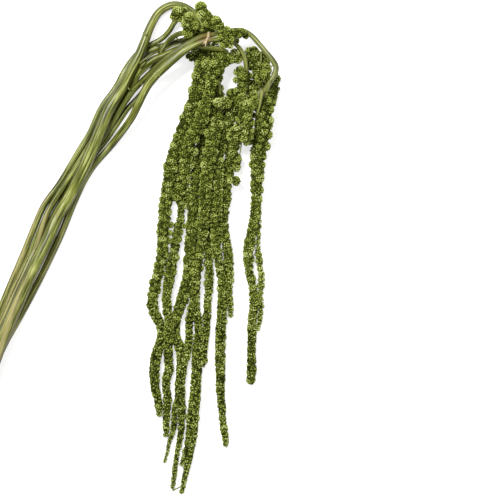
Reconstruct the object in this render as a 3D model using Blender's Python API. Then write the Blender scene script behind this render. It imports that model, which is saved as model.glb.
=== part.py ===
"""A bunch of green hanging amaranth: seven cut stalks, tied near their heads with raffia, laid on a table.

Each stalk is a smooth stem that ends in its own head of knobbly flower tassels. The bunch lies flat, and the
plan is drawn at full size on a sheet 500 mm square: x to the right and y down from the sheet's upper left
corner. The model's origin is on the table, under the tie. Its +X runs to the sheet's right, +Y up the sheet,
and +Z up from the table.
"""

import math

import bmesh
import bpy
import numpy as np
from mathutils import Vector

MM = 0.001

# Driving sizes, in millimetres
TIE_ON_SHEET = (206.0, 39.0)  # where the origin is on the sheet
GAP = 0.35  # between the end of a stem and its head
JOIN_STEP = 1.6  # the stem and its head are straight for this far on each side of that gap
CLEARANCE = 0.55  # between the outsides of two pieces that cross
LAY_STEP = 4.0  # between the points at which heights are worked out
FUSED_SHARE = 0.7  # strands of one head lie this share of their radii apart
ROOT_FREE = 34.0  # next to its root a side strand may sink into the strand that bears it
ROOT_EASE = 16.0  # a side strand comes up to its own height over this length from its root
LAY_ROUNDS = 150
STEM_SAG = 0.011  # how sharply a stem bends over what is under it: this divided by its radius
TASSEL_SAG = 0.02  # and how sharply a tassel does, whatever its radius
STEM_STEP = 14.0  # between the rings of a stem, where it is nearly straight
SLIGHT_BEND = 0.06
STEM_SETTLED = 0.2  # the underside of a stem that is this near the table lies flat on it
KNOB_DEPTH = 0.27  # how far the flower knobs stand out, as a share of the radius
KNOB_STEP = (5.2, 7.6)  # the shortest and the longest way from one ring of knobs to the next
PLUMPNESS = 1.08  # the knobs' tops over the radii on the sheet, which are the mean ones
TIP_RADIUS = 0.45
TIE_RADIUS = 1.1
TIE_GAP = 0.35
TIE_REACH = 5.0  # the tied stems are lifted clear of the others this far on each side of the tie
TIE_SIDES = 20

# Materials: base colour, roughness
FINISHES = {
    "stem": ((0.30, 0.36, 0.09, 1.0), 0.5),
    "tassel": ((0.16, 0.22, 0.05, 1.0), 0.85),
    "raffia": ((0.60, 0.45, 0.28, 1.0), 0.8),
}

# Every route is a list of (x, y, radius, level) on the sheet. Where two routes cross, the higher level lies
# on top. A stalk's route is its stem and then its head's main tassel, which starts where the stem ends. Its
# side strands start inside the tassel that bears them. Stalk 3 is the thickest, and the others start beside
# it: those points are (length along stalk 3 from its cut end, distance to its right, radius, level).
STALKS = {
    "3": {
        "stem": [
            (-32, 425, 5.9, 2), (-14, 384, 5.9, 2), (4, 336, 5.9, 2), (13, 315, 5.9, 2), (31.5, 273, 5.9, 2),
            (49.5, 236, 5.8, 2), (58.5, 214.5, 5.7, 2), (68, 199, 5.7, 2), (78, 180, 5.6, 2),
            (86.5, 163, 5.6, 2), (97.5, 138, 5.5, 2), (108.5, 111, 5.3, 2), (124, 85, 4.9, 2),
            (131.5, 70, 4.8, 2), (139.5, 55, 4.5, 2), (146, 38, 3.9, 2), (152, 23, 3.5, 2),
            (160, 10.8, 3.4, 0.5), (170, 5, 3.3, 0.5), (181, 5.3, 3.3, 0.5), (192, 11.5, 3.3, 0.5),
            (200, 21, 3.2, 0.5), (204.6, 30, 3.2, 0.5), (206, 39, 3.2, 0.5), (207, 52, 3.2, 0.5),
        ],
        "head": [
            (207, 54, 5.0, 0.5), (205, 60, 7.5, 0.5), (202.8, 67, 8.8, 0.5), (200, 76, 9.2, 0.5),
            (198.8, 84, 7.9, 0.5), (196.8, 93, 8.8, 0.5), (194.2, 103, 9.0, 0.5), (190.2, 112, 8.3, 0.5),
            (187, 122, 8.6, 0.5), (182, 133, 7.8, 0.5), (176.5, 146, 7.4, 0.5), (172.5, 158, 7.6, 0.5),
            (170.5, 170, 7.4, 0.5), (168, 186, 7.2, 0.5), (166, 200, 7.2, 0.5), (164.5, 216, 7.0, 0.5),
            (163, 232, 6.6, 0.5), (163, 248, 6.6, 0.5), (161, 262, 6.4, 0.5), (157, 276, 5.8, 0.5),
            (154, 290, 6.0, 0.5), (152, 301, 5.6, 0.5), (153.5, 311, 5.0, 0.5), (157, 319, 4.6, 0.5),
            (161.5, 327, 4.4, 0.5), (162, 336, 4.6, 0.5), (160.5, 344, 5.0, 0.5), (157, 352, 5.2, 0.5),
            (155, 361, 5.2, 0.5), (154, 372, 4.6, 0.5), (154.3, 383, 3.9, 0.5), (156, 394, 3.4, 0.5),
            (158.5, 403, 3.1, 0.5), (159.3, 410, 2.6, 0.5), (158.4, 416, 1.4, 0.5),
        ],
        "strands": [
            [
                (205, 60, 4.0, 2.5), (210, 66, 6.0, 2.5), (213.5, 73, 6.6, 2.5), (211.5, 82, 4.8, 2.5),
                (209.5, 92, 5.4, 2.5), (206.5, 104, 6.0, 2.5), (202, 117, 6.4, 2.5), (196, 130, 7.2, 2.5),
                (190.5, 142, 7.2, 2.5), (187, 155, 6.8, 2.5), (184.5, 170, 6.8, 2.5), (181.8, 188, 6.8, 2.5),
                (180, 199, 5.6, 2.5), (181.3, 207, 3.4, 2.5), (180.6, 220, 3.2, 2.5), (177.5, 230, 4.6, 2.5),
                (176, 240, 4.8, 2.5), (174, 252, 5.2, 2.5), (172.5, 262, 5.4, 2.5), (170, 272, 5.8, 2.5),
                (168.3, 284, 5.8, 2.5), (166.8, 293, 4.8, 2.5), (166.3, 300, 4.8, 2.5), (167.5, 312, 4, 2.5),
                (169, 322, 3.8, 2.5), (168.5, 336, 4.0, 2.5), (168.2, 350, 3.8, 2.5), (168.4, 362, 3.5, 2.5),
                (169.3, 371, 4.0, 2.5), (165.5, 380, 3.2, 2.5), (166, 389, 3.0, 2.5), (167.6, 399, 3.3, 2.5),
                (166.2, 412, 2.9, 2.5), (166, 425, 2.6, 2.5), (166, 436, 1.6, 2.5),
            ],
            [(205, 61, 4.0, 0.5), (197.5, 56.5, 4.4, 0.5), (193, 57.5, 3.4, 0.5), (189.8, 59.5, 1.8, 0.5)],
            [(205.5, 60, 3.6, 0.5), (202, 54, 4.4, 0.5), (199, 51.5, 3.0, 0.5)],
            [
                (200, 84, 4.5, 0), (203, 100, 5.4, 0), (198, 118, 5.4, 0), (190, 134, 5.4, 0),
                (182, 150, 5.2, 0), (178, 168, 4.8, 0), (175, 184, 4.2, 0), (172.5, 198, 2.8, 0),
            ],
        ],
    },
    "1": {
        "beside": [
            (0, -15.0, 2.8, 0), (96, -14.2, 2.7, 0), (140, -15.0, 2.8, 0), (185, -16.8, 2.7, 0),
            (207, -18.1, 2.7, 0), (230, -17.6, 2.7, 0), (255, -15.6, 2.7, 0), (275, -14.0, 2.6, 0),
            (295, -12.6, 2.6, 0), (315, -9.8, 2.5, 0), (345, -8.4, 2.5, 0),
        ],
        "stem": [
            (115, 87.5, 2.5, 0), (125.5, 68.5, 2.5, 0), (133, 57.5, 2.4, 0), (140, 50.5, 2.3, 0),
            (147, 45.8, 2.3, 0), (153, 43, 2.2, 0), (160, 39, 2.2, 0.5), (167, 33, 2.1, 1), (172, 26, 2.1, 1),
            (175, 21, 2.1, 1),
        ],
        "head": [(176, 19.5, 3.2, 1), (177.5, 14.5, 8.0, 1), (181, 11, 6.3, 1), (186, 10.5, 3.0, 1)],
        "strands": [
            [(178, 14.5, 3.5, 1), (173.5, 14.5, 4.4, 1), (170, 16.5, 3.4, 1)],
            [(179, 14, 4.0, 1), (183, 18, 4.8, 1), (184.5, 22.5, 3.2, 1)],
        ],
    },
    "2": {
        "beside": [
            (-7, -6, 2.6, 1), (96, -6.8, 2.7, 1), (140, -6.8, 2.7, 1), (185, -7.2, 2.7, 1),
            (225, -10.5, 2.5, 1), (265, -9.4, 2.5, 1), (290, -6.6, 2.5, 1), (315, -3.5, 2.5, 1),
            (345, -0.8, 2.4, 1),
        ],
        "stem": [
            (122.5, 86.5, 2.4, 1), (131.5, 70.5, 2.4, 1), (137, 61.5, 2.3, 1), (142, 56, 2.3, 1),
            (147, 51.8, 2.3, 1), (153, 49, 2.5, 1), (160, 46.5, 2.6, 1), (170, 43.4, 2.6, 1),
            (178, 41.4, 2.5, 1), (184, 39.4, 2.3, 1),
        ],
        "head": [
            (185, 39.1, 2.6, 1), (190, 37.0, 2.9, 1), (196, 33.4, 3.1, 1), (201, 29, 3.1, 1),
            (206, 25.2, 3.7, 1), (211, 23, 6.6, 3.5), (215.5, 22.6, 8.0, 3.5), (219.5, 26.5, 6.6, 3.5),
            (222, 33, 5.6, 3.5), (226, 39, 5.2, 3.5), (228.5, 44, 4.6, 3.5), (231, 48, 2.6, 3.5),
        ],
        "strands": [
            [
                (212, 24, 4.0, 3.4), (207, 17, 5.5, 3.4), (201.4, 11.8, 6.8, 3.4), (200.5, 8.5, 6.0, 3.4),
                (200.3, 5.5, 2.8, 3.4),
            ],
            [
                (222, 31, 3.4, 3.5), (229, 34.5, 3.2, 3.5), (236, 34.8, 4.0, 3.5), (241.5, 33, 5.0, 3.5),
                (245.5, 33.5, 2.4, 3.5),
            ],
        ],
    },
    "4": {
        "beside": [
            (4, -10.6, 2.3, 0.1), (96, -10.1, 2.2, 0.1), (140, -10.0, 2.3, 0.1), (185, -10.5, 2.3, 0.1),
            (225, -10.6, 2.2, 0.1), (255, -9.9, 2.1, 0.1), (275, -8.8, 2.0, 0.1), (293, -6.0, 2.0, 0.1),
            (317, 0.3, 2.2, 0.1), (345, 6, 2.4, 0.1),
        ],
        "stem": [
            (118.7, 108, 2.5, 0.1), (124.5, 98, 2.6, 1.5), (130.5, 88, 2.7, 1.5), (135.8, 78, 2.8, 1.5),
            (141.5, 68.5, 3.0, 1.5), (151, 61.2, 3.1, 1.5), (157.5, 57.6, 3.1, 1.5), (165, 55, 3.0, 1.5),
            (172, 51.8, 2.9, 1.5), (182, 47.8, 2.5, 1.5), (191, 46, 2.3, 1.5), (200, 46.5, 2.2, 1.5),
            (207, 47.5, 2.2, 1.5), (214, 49.2, 2.2, 1.5), (220, 50, 2.2, 1.5),
        ],
        "head": [
            (221.5, 50.6, 4.4, 1.5), (223.5, 56, 6.6, 1.5), (221, 64, 6.0, 1.5), (218.5, 73, 4.2, 1.5),
            (217, 85, 4.0, 1.5), (215.5, 99, 4.8, 1.5), (212, 113, 6.0, 1.5), (207.5, 127, 6.2, 1.5),
            (203, 142, 6.0, 1.5), (199, 156, 5.6, 1.5), (196.5, 170, 5.4, 1.5), (195, 188, 6.0, 1.5),
            (193.7, 205, 6.0, 1.5), (191.6, 224, 6.0, 1.5), (190.4, 244, 6.0, 1.5), (189.6, 260, 6.4, 1.5),
            (188.2, 274, 6.6, 1.5), (185.6, 287, 6.4, 1.5), (182.8, 298, 6.2, 1.5), (179.5, 307, 5.6, 1.5),
            (176.8, 316, 4.8, 1.5), (175.4, 326, 3.8, 1.5), (175, 336, 3.6, 1.5), (178.3, 343.5, 4.8, 1.5),
            (181.5, 353, 5.2, 1.5), (181.7, 363, 5.0, 1.5), (181, 376, 4.6, 1.5), (179.4, 388, 4.2, 1.5),
            (180.2, 398, 4.0, 1.5), (181.8, 408, 3.4, 1.5), (181.2, 420, 2.6, 1.5), (180.8, 432, 2.2, 1.5),
            (178.2, 446, 1.8, 1.5), (176, 460, 1.7, 1.5), (174, 476, 1.7, 1.5), (172.2, 490, 1.5, 1.5),
        ],
        "strands": [
            [
                (212, 113, 4.0, 2), (215.5, 124, 6.2, 2), (213, 138, 7.0, 2), (210.5, 152, 7.0, 2),
                (208, 166, 6.8, 2), (206, 182, 6.2, 2), (205, 198, 5.6, 2), (204.5, 214, 5.2, 2),
                (203.5, 230, 4.6, 2), (201.5, 244, 4.8, 2), (199, 256, 5.6, 2), (197, 268, 5.8, 2),
                (195.8, 280, 5.6, 2), (195, 291, 5.4, 2), (194.5, 301, 5.0, 2), (195.3, 311, 4.4, 2),
                (198, 321, 3.8, 2), (199.6, 331, 3.8, 2), (198, 342, 4.6, 2), (197.3, 354, 5.0, 2),
                (197, 366, 4.9, 2), (196.4, 378, 4.4, 2), (195.6, 390, 4.4, 2), (194.4, 402, 5.4, 2),
                (193, 414, 5.8, 2), (192.2, 426, 5.9, 2), (191.2, 437, 5.4, 2), (189.5, 448, 4.4, 2),
                (188.5, 459, 3.2, 2), (186.6, 469, 2.2, 2), (184.2, 480, 1.8, 2), (183.2, 487, 1.6, 2),
                (180.2, 495, 1.1, 2),
            ],
            [
                (194, 302, 3.4, 2), (190.5, 313, 3.2, 2), (189.3, 325, 3.2, 2), (188.8, 338, 3.0, 2),
                (188.2, 350, 2.7, 2), (186.8, 360, 2.4, 2),
            ],
            [(189, 446, 2.6, 2), (185.6, 453, 2.0, 2), (182.6, 461, 1.6, 2), (180.8, 468, 1.2, 2)],
            [
                (180, 398, 2.0, 1.5), (175.5, 404, 1.9, 1.5), (174.4, 413, 2.6, 1.5), (174.2, 423, 2.7, 1.5),
                (173.2, 431, 2.4, 1.5), (169.6, 440, 1.4, 1.5), (167.6, 450, 1.3, 1.5), (165.6, 459, 1, 1.5),
                (163.5, 464, 1.1, 1.5),
            ],
            [(222, 60, 4.0, 1.5), (229, 60, 6.6, 1.5), (235.5, 56.5, 6.6, 1.5), (240, 54.5, 4.4, 1.5)],
            [
                (221, 62, 3.6, 1.2), (215.5, 58, 4.0, 1.2), (213.5, 52, 3.8, 1.2), (213, 47, 3.0, 1.2),
                (213, 44.5, 1.6, 1.2),
            ],
            [
                (216, 96, 3.4, -1), (217, 112, 4.4, -1), (215.5, 130, 4.8, -1), (213.5, 150, 4.8, -1),
                (212.5, 172, 4.8, -1), (211.8, 195, 4.6, -1), (211, 220, 4.4, -1), (209.5, 242, 4.2, -1),
                (208.6, 258, 3.8, -1), (209.4, 273, 4.2, -1), (208.6, 287, 4.0, -1), (207.4, 300, 3.0, -1),
                (206.8, 315, 2.9, -1), (206.2, 330, 2.8, -1), (204.6, 342, 2.8, -1), (203.6, 354, 2.5, -1),
                (203, 367, 1.5, -1),
            ],
        ],
    },
    "6": {
        "beside": [
            (-3, 0, 2.2, 0.2), (96, -0.5, 2.1, 0.2), (140, -0.1, 2.2, 0.2), (185, 0.6, 2.2, 0.2),
            (225, 0.6, 2.1, 0.2), (255, 0.1, 2.0, 0.2), (275, 0.2, 2.0, 0.2), (293, 2.2, 2.0, 0.2),
            (317, 8.6, 2.1, 0.2), (345, 14, 2.2, 0.2),
        ],
        "stem": [
            (127.5, 108, 2.2, 0.2), (135, 100, 2.2, 0.2), (140.5, 94.5, 2.2, 0.2), (144.5, 87, 2.2, 0.2),
            (148, 79, 2.1, 0.2), (151, 71.5, 2.1, 1.2), (154, 66, 2.1, 1.2), (158, 59, 2.1, 1.2),
            (161.5, 51, 2.1, 1.2), (166, 44, 2.1, 1.2), (171, 39, 2.1, 1.2), (177, 35, 2.0, 1.2),
            (183, 33.3, 2.0, 1.2),
        ],
        "head": [
            (184.5, 33, 3.4, 1.2), (189.5, 29.5, 8.2, 1.2), (192, 25.5, 7.6, 1.2), (195, 21.5, 3.4, 1.2),
        ],
        "strands": [
            [(191, 28, 3.6, 1.2), (193, 30, 3.2, 1.2), (194.2, 31.8, 1.6, 1.2)],
            [(191, 27, 4.0, 1.2), (189.5, 19, 5.0, 1.2), (188, 14.5, 3.2, 1.2)],
        ],
    },
    "7": {
        "beside": [
            (3, -5, 2.2, 0.3), (96, -5.4, 2.1, 0.3), (140, -5.1, 2.2, 0.3), (185, -4.8, 2.2, 0.3),
            (225, -4.7, 2.1, 0.3), (255, -4.8, 2.0, 0.3), (275, -4.3, 2.0, 0.3), (293, -1.7, 2.0, 0.3),
            (317, 4.7, 2.2, 1.8), (345, 9.3, 2.3, 1.8),
        ],
        "stem": [
            (126, 100.5, 2.4, 1.8), (134, 89.5, 2.4, 3), (142, 81.5, 2.4, 3), (150, 74, 2.4, 3),
            (157.5, 67, 2.5, 3), (165, 61, 2.6, 3), (175, 53.3, 2.6, 3), (186, 45.7, 2.5, 3),
            (198, 38.8, 2.0, 3),
            (206, 36, 1.9, 3), (215, 34.8, 1.9, 3), (224, 32.3, 1.9, 3), (233, 30.4, 2.0, 3),
            (241, 30, 2.2, 3), (250, 34.8, 2.5, 3), (258, 43.3, 2.6, 3), (265, 52, 2.6, 3),
            (271.8, 60, 2.7, 3), (276, 68.5, 2.7, 3), (273.4, 77.5, 2.7, 3), (268.4, 85, 2.7, 3),
            (264.6, 92, 2.7, 3),
        ],
        "head": [
            (263.4, 94.5, 5.0, 1), (262, 102, 6.0, 1), (263, 112, 9.2, 1), (263.2, 124, 10.0, 1),
            (261.8, 136, 9.8, 1), (259, 147, 9.2, 1), (257.4, 158, 8.4, 1), (257, 172, 7.9, 1),
            (256.4, 185, 6.2, 1), (256.2, 198, 5.5, 1), (255.2, 210, 5.0, 1), (253.8, 222, 5.0, 1),
            (251.8, 233, 5.3, 1), (250.0, 243, 5.8, 1), (248.2, 254, 5.8, 1), (248.4, 264, 4.9, 1),
            (250, 274, 3.6, 1), (251.8, 284, 3.2, 1), (253.8, 294, 3.8, 1), (254, 306, 4.4, 1),
            (252.6, 317, 3.9, 1), (251.6, 329, 3.9, 1), (251.9, 341, 3.6, 1), (251.3, 354, 3.6, 1),
            (251.5, 367, 3.6, 1), (251.2, 378, 3.8, 1), (251, 383, 2.2, 1),
        ],
        "strands": [
            [
                (263, 112, 4.0, 1), (269.5, 105, 6.0, 1), (272.8, 95, 5.0, 1), (275.5, 85, 3.8, 1),
                (276.5, 76, 2.6, 1),
            ],
            [
                (262.4, 106, 4.0, 1), (255, 103, 5.0, 1), (252.6, 94, 5.4, 1), (253.5, 87, 6.0, 1),
                (257.5, 81, 5.6, 1), (260, 74, 7.2, 1), (257, 66, 6.6, 0), (252, 57.5, 7.8, 0),
                (257, 53.8, 5.4, 0), (262, 54.5, 3.6, 0),
            ],
            [
                (260, 76, 4.0, 0.5), (266, 76, 5.2, 0.5), (268, 70, 4.6, 0.5), (265.5, 63, 4.6, 0.5),
                (262, 58, 3.0, 0.5),
            ],
            [(263.5, 112, 3.6, 1), (267.3, 99, 3.4, 1), (268.6, 88, 3.2, 1), (271, 79, 2.0, 1)],
            [
                (256.4, 200, 3.0, 1), (258.4, 214, 2.2, 1), (258.2, 232, 1.8, 1), (257.8, 248, 1.9, 1),
                (258.8, 260, 2.5, 1), (260.8, 271, 2.7, 1), (261.2, 282, 2.5, 1), (260.2, 294, 2.0, 1),
                (260.2, 308, 2.1, 1), (259.6, 320, 2.0, 1), (257, 331, 1.2, 1),
            ],
        ],
    },
    "5": {
        "beside": [
            (-5, 4.6, 2.7, 0.4), (94, 3.8, 2.6, 0.4), (118, 6.3, 2.8, 0.4), (140, 8.2, 2.9, 0.4),
            (185, 9.4, 3.0, 0.4), (215, 9.5, 3.0, 0.4), (240, 7.6, 2.8, 0.4), (258, 5.6, 2.7, 0.4),
            (275, 5.3, 2.7, 0.4), (291, 7.6, 2.8, 0.4),
        ],
        "stem": [
            (109.5, 146.5, 3.0, 0.4), (122, 131, 3.1, 3.1), (132, 117.3, 3.2, 3.1), (138.3, 105, 3.3, 3.1),
            (142.5, 96.5, 3.4, 3.1), (147, 87.5, 3.6, 3.1), (152, 80, 3.9, 3.1), (158.5, 73.5, 4.0, 3.1),
            (165.5, 66.8, 3.9, 3.1), (175, 58.8, 3.5, 3.1), (186, 50.5, 3.0, 3.1), (197, 44.7, 2.4, 3.1),
            (206, 41.6, 2.1, 3.1), (215, 40, 2.0, 3.1), (225, 40.8, 2.0, 3.1), (233, 43, 1.9, 3.1),
            (240, 49, 1.9, 3.1), (244.2, 56.5, 1.9, 3.1), (246, 67, 1.9, 3.1),
        ],
        "head": [
            (246, 69.5, 5.0, 3.1), (245, 76, 7.2, 3.1), (243, 85, 4.6, 3.1), (240, 93.5, 7.0, 3.1),
            (235, 104, 7.6, 3.1), (230, 117, 6.6, 1), (225.5, 131, 5.4, 1), (222.5, 145, 4.6, 1),
            (219, 160, 4.5, 1), (217, 178, 4.6, 1), (215.7, 196, 4.8, 1), (215, 214, 4.8, 1),
            (215.2, 232, 4.6, 1), (216.8, 248, 4.6, 1), (219, 263, 4.6, 1), (221.8, 277, 4.8, 1),
            (222.6, 291, 5.0, 1), (222.2, 305, 5.2, 1), (221.8, 318, 5.0, 1), (220.6, 330, 5.0, 1),
            (220, 344, 4.6, 1), (220.2, 360, 4.1, 1), (220.4, 378, 3.8, 1), (220.3, 392, 3.4, 1),
            (221.6, 404, 2.8, 1), (222.4, 418, 2.4, 1), (223.8, 431, 2.6, 1), (225.8, 438, 2.8, 1),
            (225.6, 446, 1.3, 1),
        ],
        "strands": [
            [
                (238, 98, 4.0, 2.9), (246, 104, 7.2, 2.9), (246, 115, 7.2, 2.9), (240.5, 126, 7.2, 2.9),
                (235, 138, 7.0, 2.9), (231, 152, 6.6, 2.9), (228, 168, 6.2, 2.9), (226.6, 186, 5.9, 2.9),
                (225, 204, 5.4, 2.9), (223.6, 220, 4.6, 2.9), (224.8, 234, 4.6, 2.9), (226.8, 248, 4.8, 2.9),
                (228.5, 262, 5.0, 2.9), (229.2, 276, 4.8, 2.9), (229, 290, 3.6, 2.9), (229.8, 302, 2.0, 2.9),
                (230.8, 313, 2.2, 2.9), (230.6, 317, 1.2, 2.9),
            ],
            [(234, 105, 5.0, 3.1), (225.5, 103, 6.0, 3.1), (219, 103.5, 5.6, 3.1), (214.5, 106, 3.0, 3.1)],
            [(238, 99, 4.0, 3.1), (231, 94.5, 5.8, 3.1), (226.5, 96.5, 4.6, 3.1)],
            [(231, 152, 3.6, 2.9), (236, 157, 6.2, 2.9), (237.2, 164, 6.4, 2.9), (236, 170, 3.6, 2.9)],
            [(228, 180, 3.0, 2.9), (234.5, 180.5, 5.4, 2.9), (238, 182, 3.2, 2.9)],
            [
                (245.5, 112, 4.0, 2.9), (250, 119, 4.4, 2.9), (248.6, 129, 4.6, 2.9), (246.4, 137, 5.0, 2.9),
                (244.4, 144, 2.8, 2.9),
            ],
            [(244, 79, 4.0, 3), (239.5, 73, 4.8, 3), (240, 67.5, 3.6, 3)],
        ],
    },
}

TIED = ("5", "7")  # the stalks that the raffia goes round


class Route:
    """One smooth line on the sheet, with a radius and a level along it, and its height once it is laid."""

    def __init__(self, points, node, stem_points=0, parent=None):
        knots = np.array(points, float)
        self.node = node
        self.parent = parent
        self.tied = False
        chords = np.hypot(*np.diff(knots[:, :2], axis=0).T)
        along = np.concatenate([[0.0], np.cumsum(chords)])
        fine = np.arange(0.0, along[-1], 1.0)
        plan = smooth_plan(knots[:, :2], along, fine)
        self.arc = np.concatenate([[0.0], np.cumsum(np.hypot(*np.diff(plan, axis=0).T))])
        self.plan = plan
        self.level = np.interp(fine, along, knots[:, 3])
        knots[stem_points:, 2] *= PLUMPNESS
        self.join = self.arc[np.searchsorted(fine, along[stem_points])] if stem_points else 0.0
        self.radius = np.interp(fine, along, knots[:, 2])
        if stem_points:
            is_stem = self.arc < self.join
            stem_radius = np.interp(fine, along[:stem_points], knots[:stem_points, 2])
            self.radius = np.where(is_stem, stem_radius, self.radius)
            self.radius[~is_stem] = np.interp(fine[~is_stem], along[stem_points:], knots[stem_points:, 2])
        is_stem = self.arc < self.join
        self.stem_sides = 8 if stem_points and self.radius[is_stem].max() > 4.0 else 6
        self.head_sides = 8 if self.radius[~is_stem].max() > 3.2 else 6
        count = int(math.ceil(self.arc[-1] / LAY_STEP)) + 1
        self.stations = np.linspace(0.0, self.arc[-1], count)
        self.height = np.zeros(count)

    def at(self, values, arc):
        return np.interp(arc, self.arc, values)

    def join_ends(self):
        """The last two points of the stem and the first two of the head, all four on one straight line."""
        middle = self.place(self.join)
        along = (self.place(self.join + 3.0) - self.place(self.join - 3.0)).normalized() * MM
        near, far = GAP / 2, GAP / 2 + JOIN_STEP
        return [middle - far * along, middle - near * along], [middle + near * along, middle + far * along]

    def on_table(self):
        """The height of each station when a flat side of the tube, or a knob, lies on the table."""
        sides = np.where(self.stations < self.join, self.stem_sides, self.head_sides)
        return self.at(self.radius, self.stations) * np.cos(math.pi / sides)

    def place(self, arc):
        """The point of the laid route at this length along it, in metres from the tie."""
        x = self.at(self.plan[:, 0], arc) - TIE_ON_SHEET[0]
        y = TIE_ON_SHEET[1] - self.at(self.plan[:, 1], arc)
        z = np.interp(arc, self.stations, self.height)
        return Vector((x, y, z)) * MM


def smooth_plan(knots, along, fine):
    """A Catmull-Rom curve through the knots, read at the lengths in fine."""
    slopes = np.gradient(knots, along, axis=0)
    piece = np.clip(np.searchsorted(along, fine, side="right") - 1, 0, len(along) - 2)
    span = (along[piece + 1] - along[piece])[:, None]
    t = (fine[:, None] - along[piece][:, None]) / span
    start, end = knots[piece], knots[piece + 1]
    return (
        (2 * t**3 - 3 * t**2 + 1) * start
        + (t**3 - 2 * t**2 + t) * span * slopes[piece]
        + (3 * t**2 - 2 * t**3) * end
        + (t**3 - t**2) * span * slopes[piece + 1]
    )


def beside(line, points):
    """Points on the sheet that lie beside the line, from (length along it, distance to its right, ...)."""
    placed = []
    for arc, distance, radius, level in points:
        on_line = max(arc, 0.0)
        ends = (on_line, on_line + 8)
        here, ahead = (np.array([line.at(line.plan[:, k], end) for k in (0, 1)]) for end in ends)
        forward = (ahead - here) / math.dist(ahead, here)
        x, y = here + forward * (arc - on_line) + distance * np.array([-forward[1], forward[0]])
        placed.append((x, y, radius, level))
    return placed


def read_routes():
    """Every route of the bunch: the stalks with their main tassels first, and then the side strands."""
    stalks, strands = {}, []
    for name, parts in STALKS.items():
        stem = beside(stalks["3"], parts["beside"]) + parts["stem"] if "beside" in parts else parts["stem"]
        stalk = Route(stem + parts["head"], name, stem_points=len(stem))
        stalk.tied = name in TIED
        stalks[name] = stalk
        for points in parts["strands"]:
            strands.append(Route(points, name, parent=stalk))
    return stalks, strands


def nearest_station(route, point):
    plan = np.stack([route.at(route.plan[:, k], route.stations) for k in (0, 1)], axis=1)
    return int(np.argmin(np.hypot(*(plan - point).T)))


def crossings(routes):
    """The pairs of stations that lie over each other: which is below, which is above, and how far apart."""
    plan, reach, level, owner, own_arc, piece, tied = [], [], [], [], [], [], []
    for number, route in enumerate(routes):
        for arc in route.stations:
            point = [route.at(route.plan[:, k], arc) for k in (0, 1)]
            near_tie = route.tied and math.dist(point, TIE_ON_SHEET) < TIE_REACH
            plan.append(point)
            reach.append(route.at(route.radius, arc))
            level.append(route.at(route.level, arc) + 1e-3 * number)
            owner.append(number)
            own_arc.append(arc if route.parent else np.inf)
            piece.append(("stem " if arc < route.join else "head ") + route.node)
            tied.append(near_tie)
    plan, reach, level, owner = map(np.array, (plan, reach, level, owner))
    own_arc, piece, tied = map(np.array, (own_arc, piece, tied))
    i, j = np.triu_indices(len(plan), 1)
    apart = np.hypot(*(plan[i] - plan[j]).T)
    collar = (2 * TIE_RADIUS + TIE_GAP) * (tied[i] ^ tied[j])
    wanted = reach[i] + reach[j] + CLEARANCE + collar
    fused = piece[i] == piece[j]
    wanted = np.where(fused, FUSED_SHARE * (reach[i] + reach[j]), wanted)
    free = fused & (np.minimum(own_arc[i], own_arc[j]) < ROOT_FREE)
    cross = (apart < wanted) & (owner[i] != owner[j]) & ~free
    i, j, rise = i[cross], j[cross], np.sqrt(wanted[cross] ** 2 - apart[cross] ** 2)
    swap = level[i] > level[j]
    return np.where(swap, j, i), np.where(swap, i, j), rise


def drape(route, lifted):
    """Carries a route over the places where it is lifted, no more sharply than its stiffness allows."""
    between = (route.stations[:, None] - route.stations[None, :]) ** 2
    radius = route.at(route.radius, route.stations)
    sag = np.where(route.stations < route.join, STEM_SAG / radius, TASSEL_SAG)
    draped = np.max(lifted[None, :] - sag[None, :] * between, axis=1)
    if route.parent:
        root = route.parent.height[route.root]
        ease = np.clip(route.stations / ROOT_EASE, 0.0, 1.0) ** 2
        draped = np.maximum(lifted, root + ease * (draped - root))
        draped[0] = root
    route.height = draped


def lay(routes):
    """Gives every route its height: on the table, or on the routes that it crosses."""
    below, above, rise = crossings(routes)
    ends = np.cumsum([len(route.stations) for route in routes])
    starts = np.concatenate([[0], ends[:-1]])
    table = np.concatenate([route.on_table() for route in routes])
    for route, start, end in zip(routes, starts, ends):
        route.height = table[start:end]
        route.root = nearest_station(route.parent, route.plan[0]) if route.parent else None
    for _ in range(LAY_ROUNDS):
        height = np.concatenate([route.height for route in routes])
        lifted = table.copy()
        np.maximum.at(lifted, above, height[below] + rise)
        for route, start, end in zip(routes, starts, ends):
            drape(route, lifted[start:end])
    height = np.concatenate([route.height for route in routes])
    worst = np.max(height[below] + rise - height[above])
    print(f"laid {len(routes)} routes to {np.max(height):.1f} mm, worst overlap {worst:.2f} mm")


def finish(name):
    """The material of that name."""
    colour, roughness = FINISHES[name]
    material = bpy.data.materials.new(name)
    material.use_nodes = True
    shader = material.node_tree.nodes["Principled BSDF"]
    shader.inputs["Base Color"].default_value = colour
    shader.inputs["Roughness"].default_value = roughness
    material.diffuse_color = colour
    return material


def tube(name, points, radii, sides, cyclic=False):
    """A mesh tube through the points, with flat ends: rings of 4, 6 or 8 sides, one side facing down."""
    curve = bpy.data.curves.new(name, "CURVE")
    curve.dimensions = "3D"
    curve.twist_mode = "Z_UP"
    curve.bevel_depth = MM
    curve.bevel_resolution = sides // 2 - 2
    curve.use_fill_caps = not cyclic
    spline = curve.splines.new("POLY")
    spline.points.add(len(points) - 1)
    spline.use_cyclic_u = cyclic
    for place, point, radius in zip(spline.points, points, radii):
        place.co = (*point, 1.0)
        place.radius = radius
        place.tilt = math.pi / sides
    holder = bpy.data.objects.new(name, curve)
    bpy.context.scene.collection.objects.link(holder)
    mesh = bpy.data.meshes.new_from_object(holder.evaluated_get(bpy.context.evaluated_depsgraph_get()))
    bpy.data.objects.remove(holder)
    mesh.name = name
    return mesh


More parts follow.
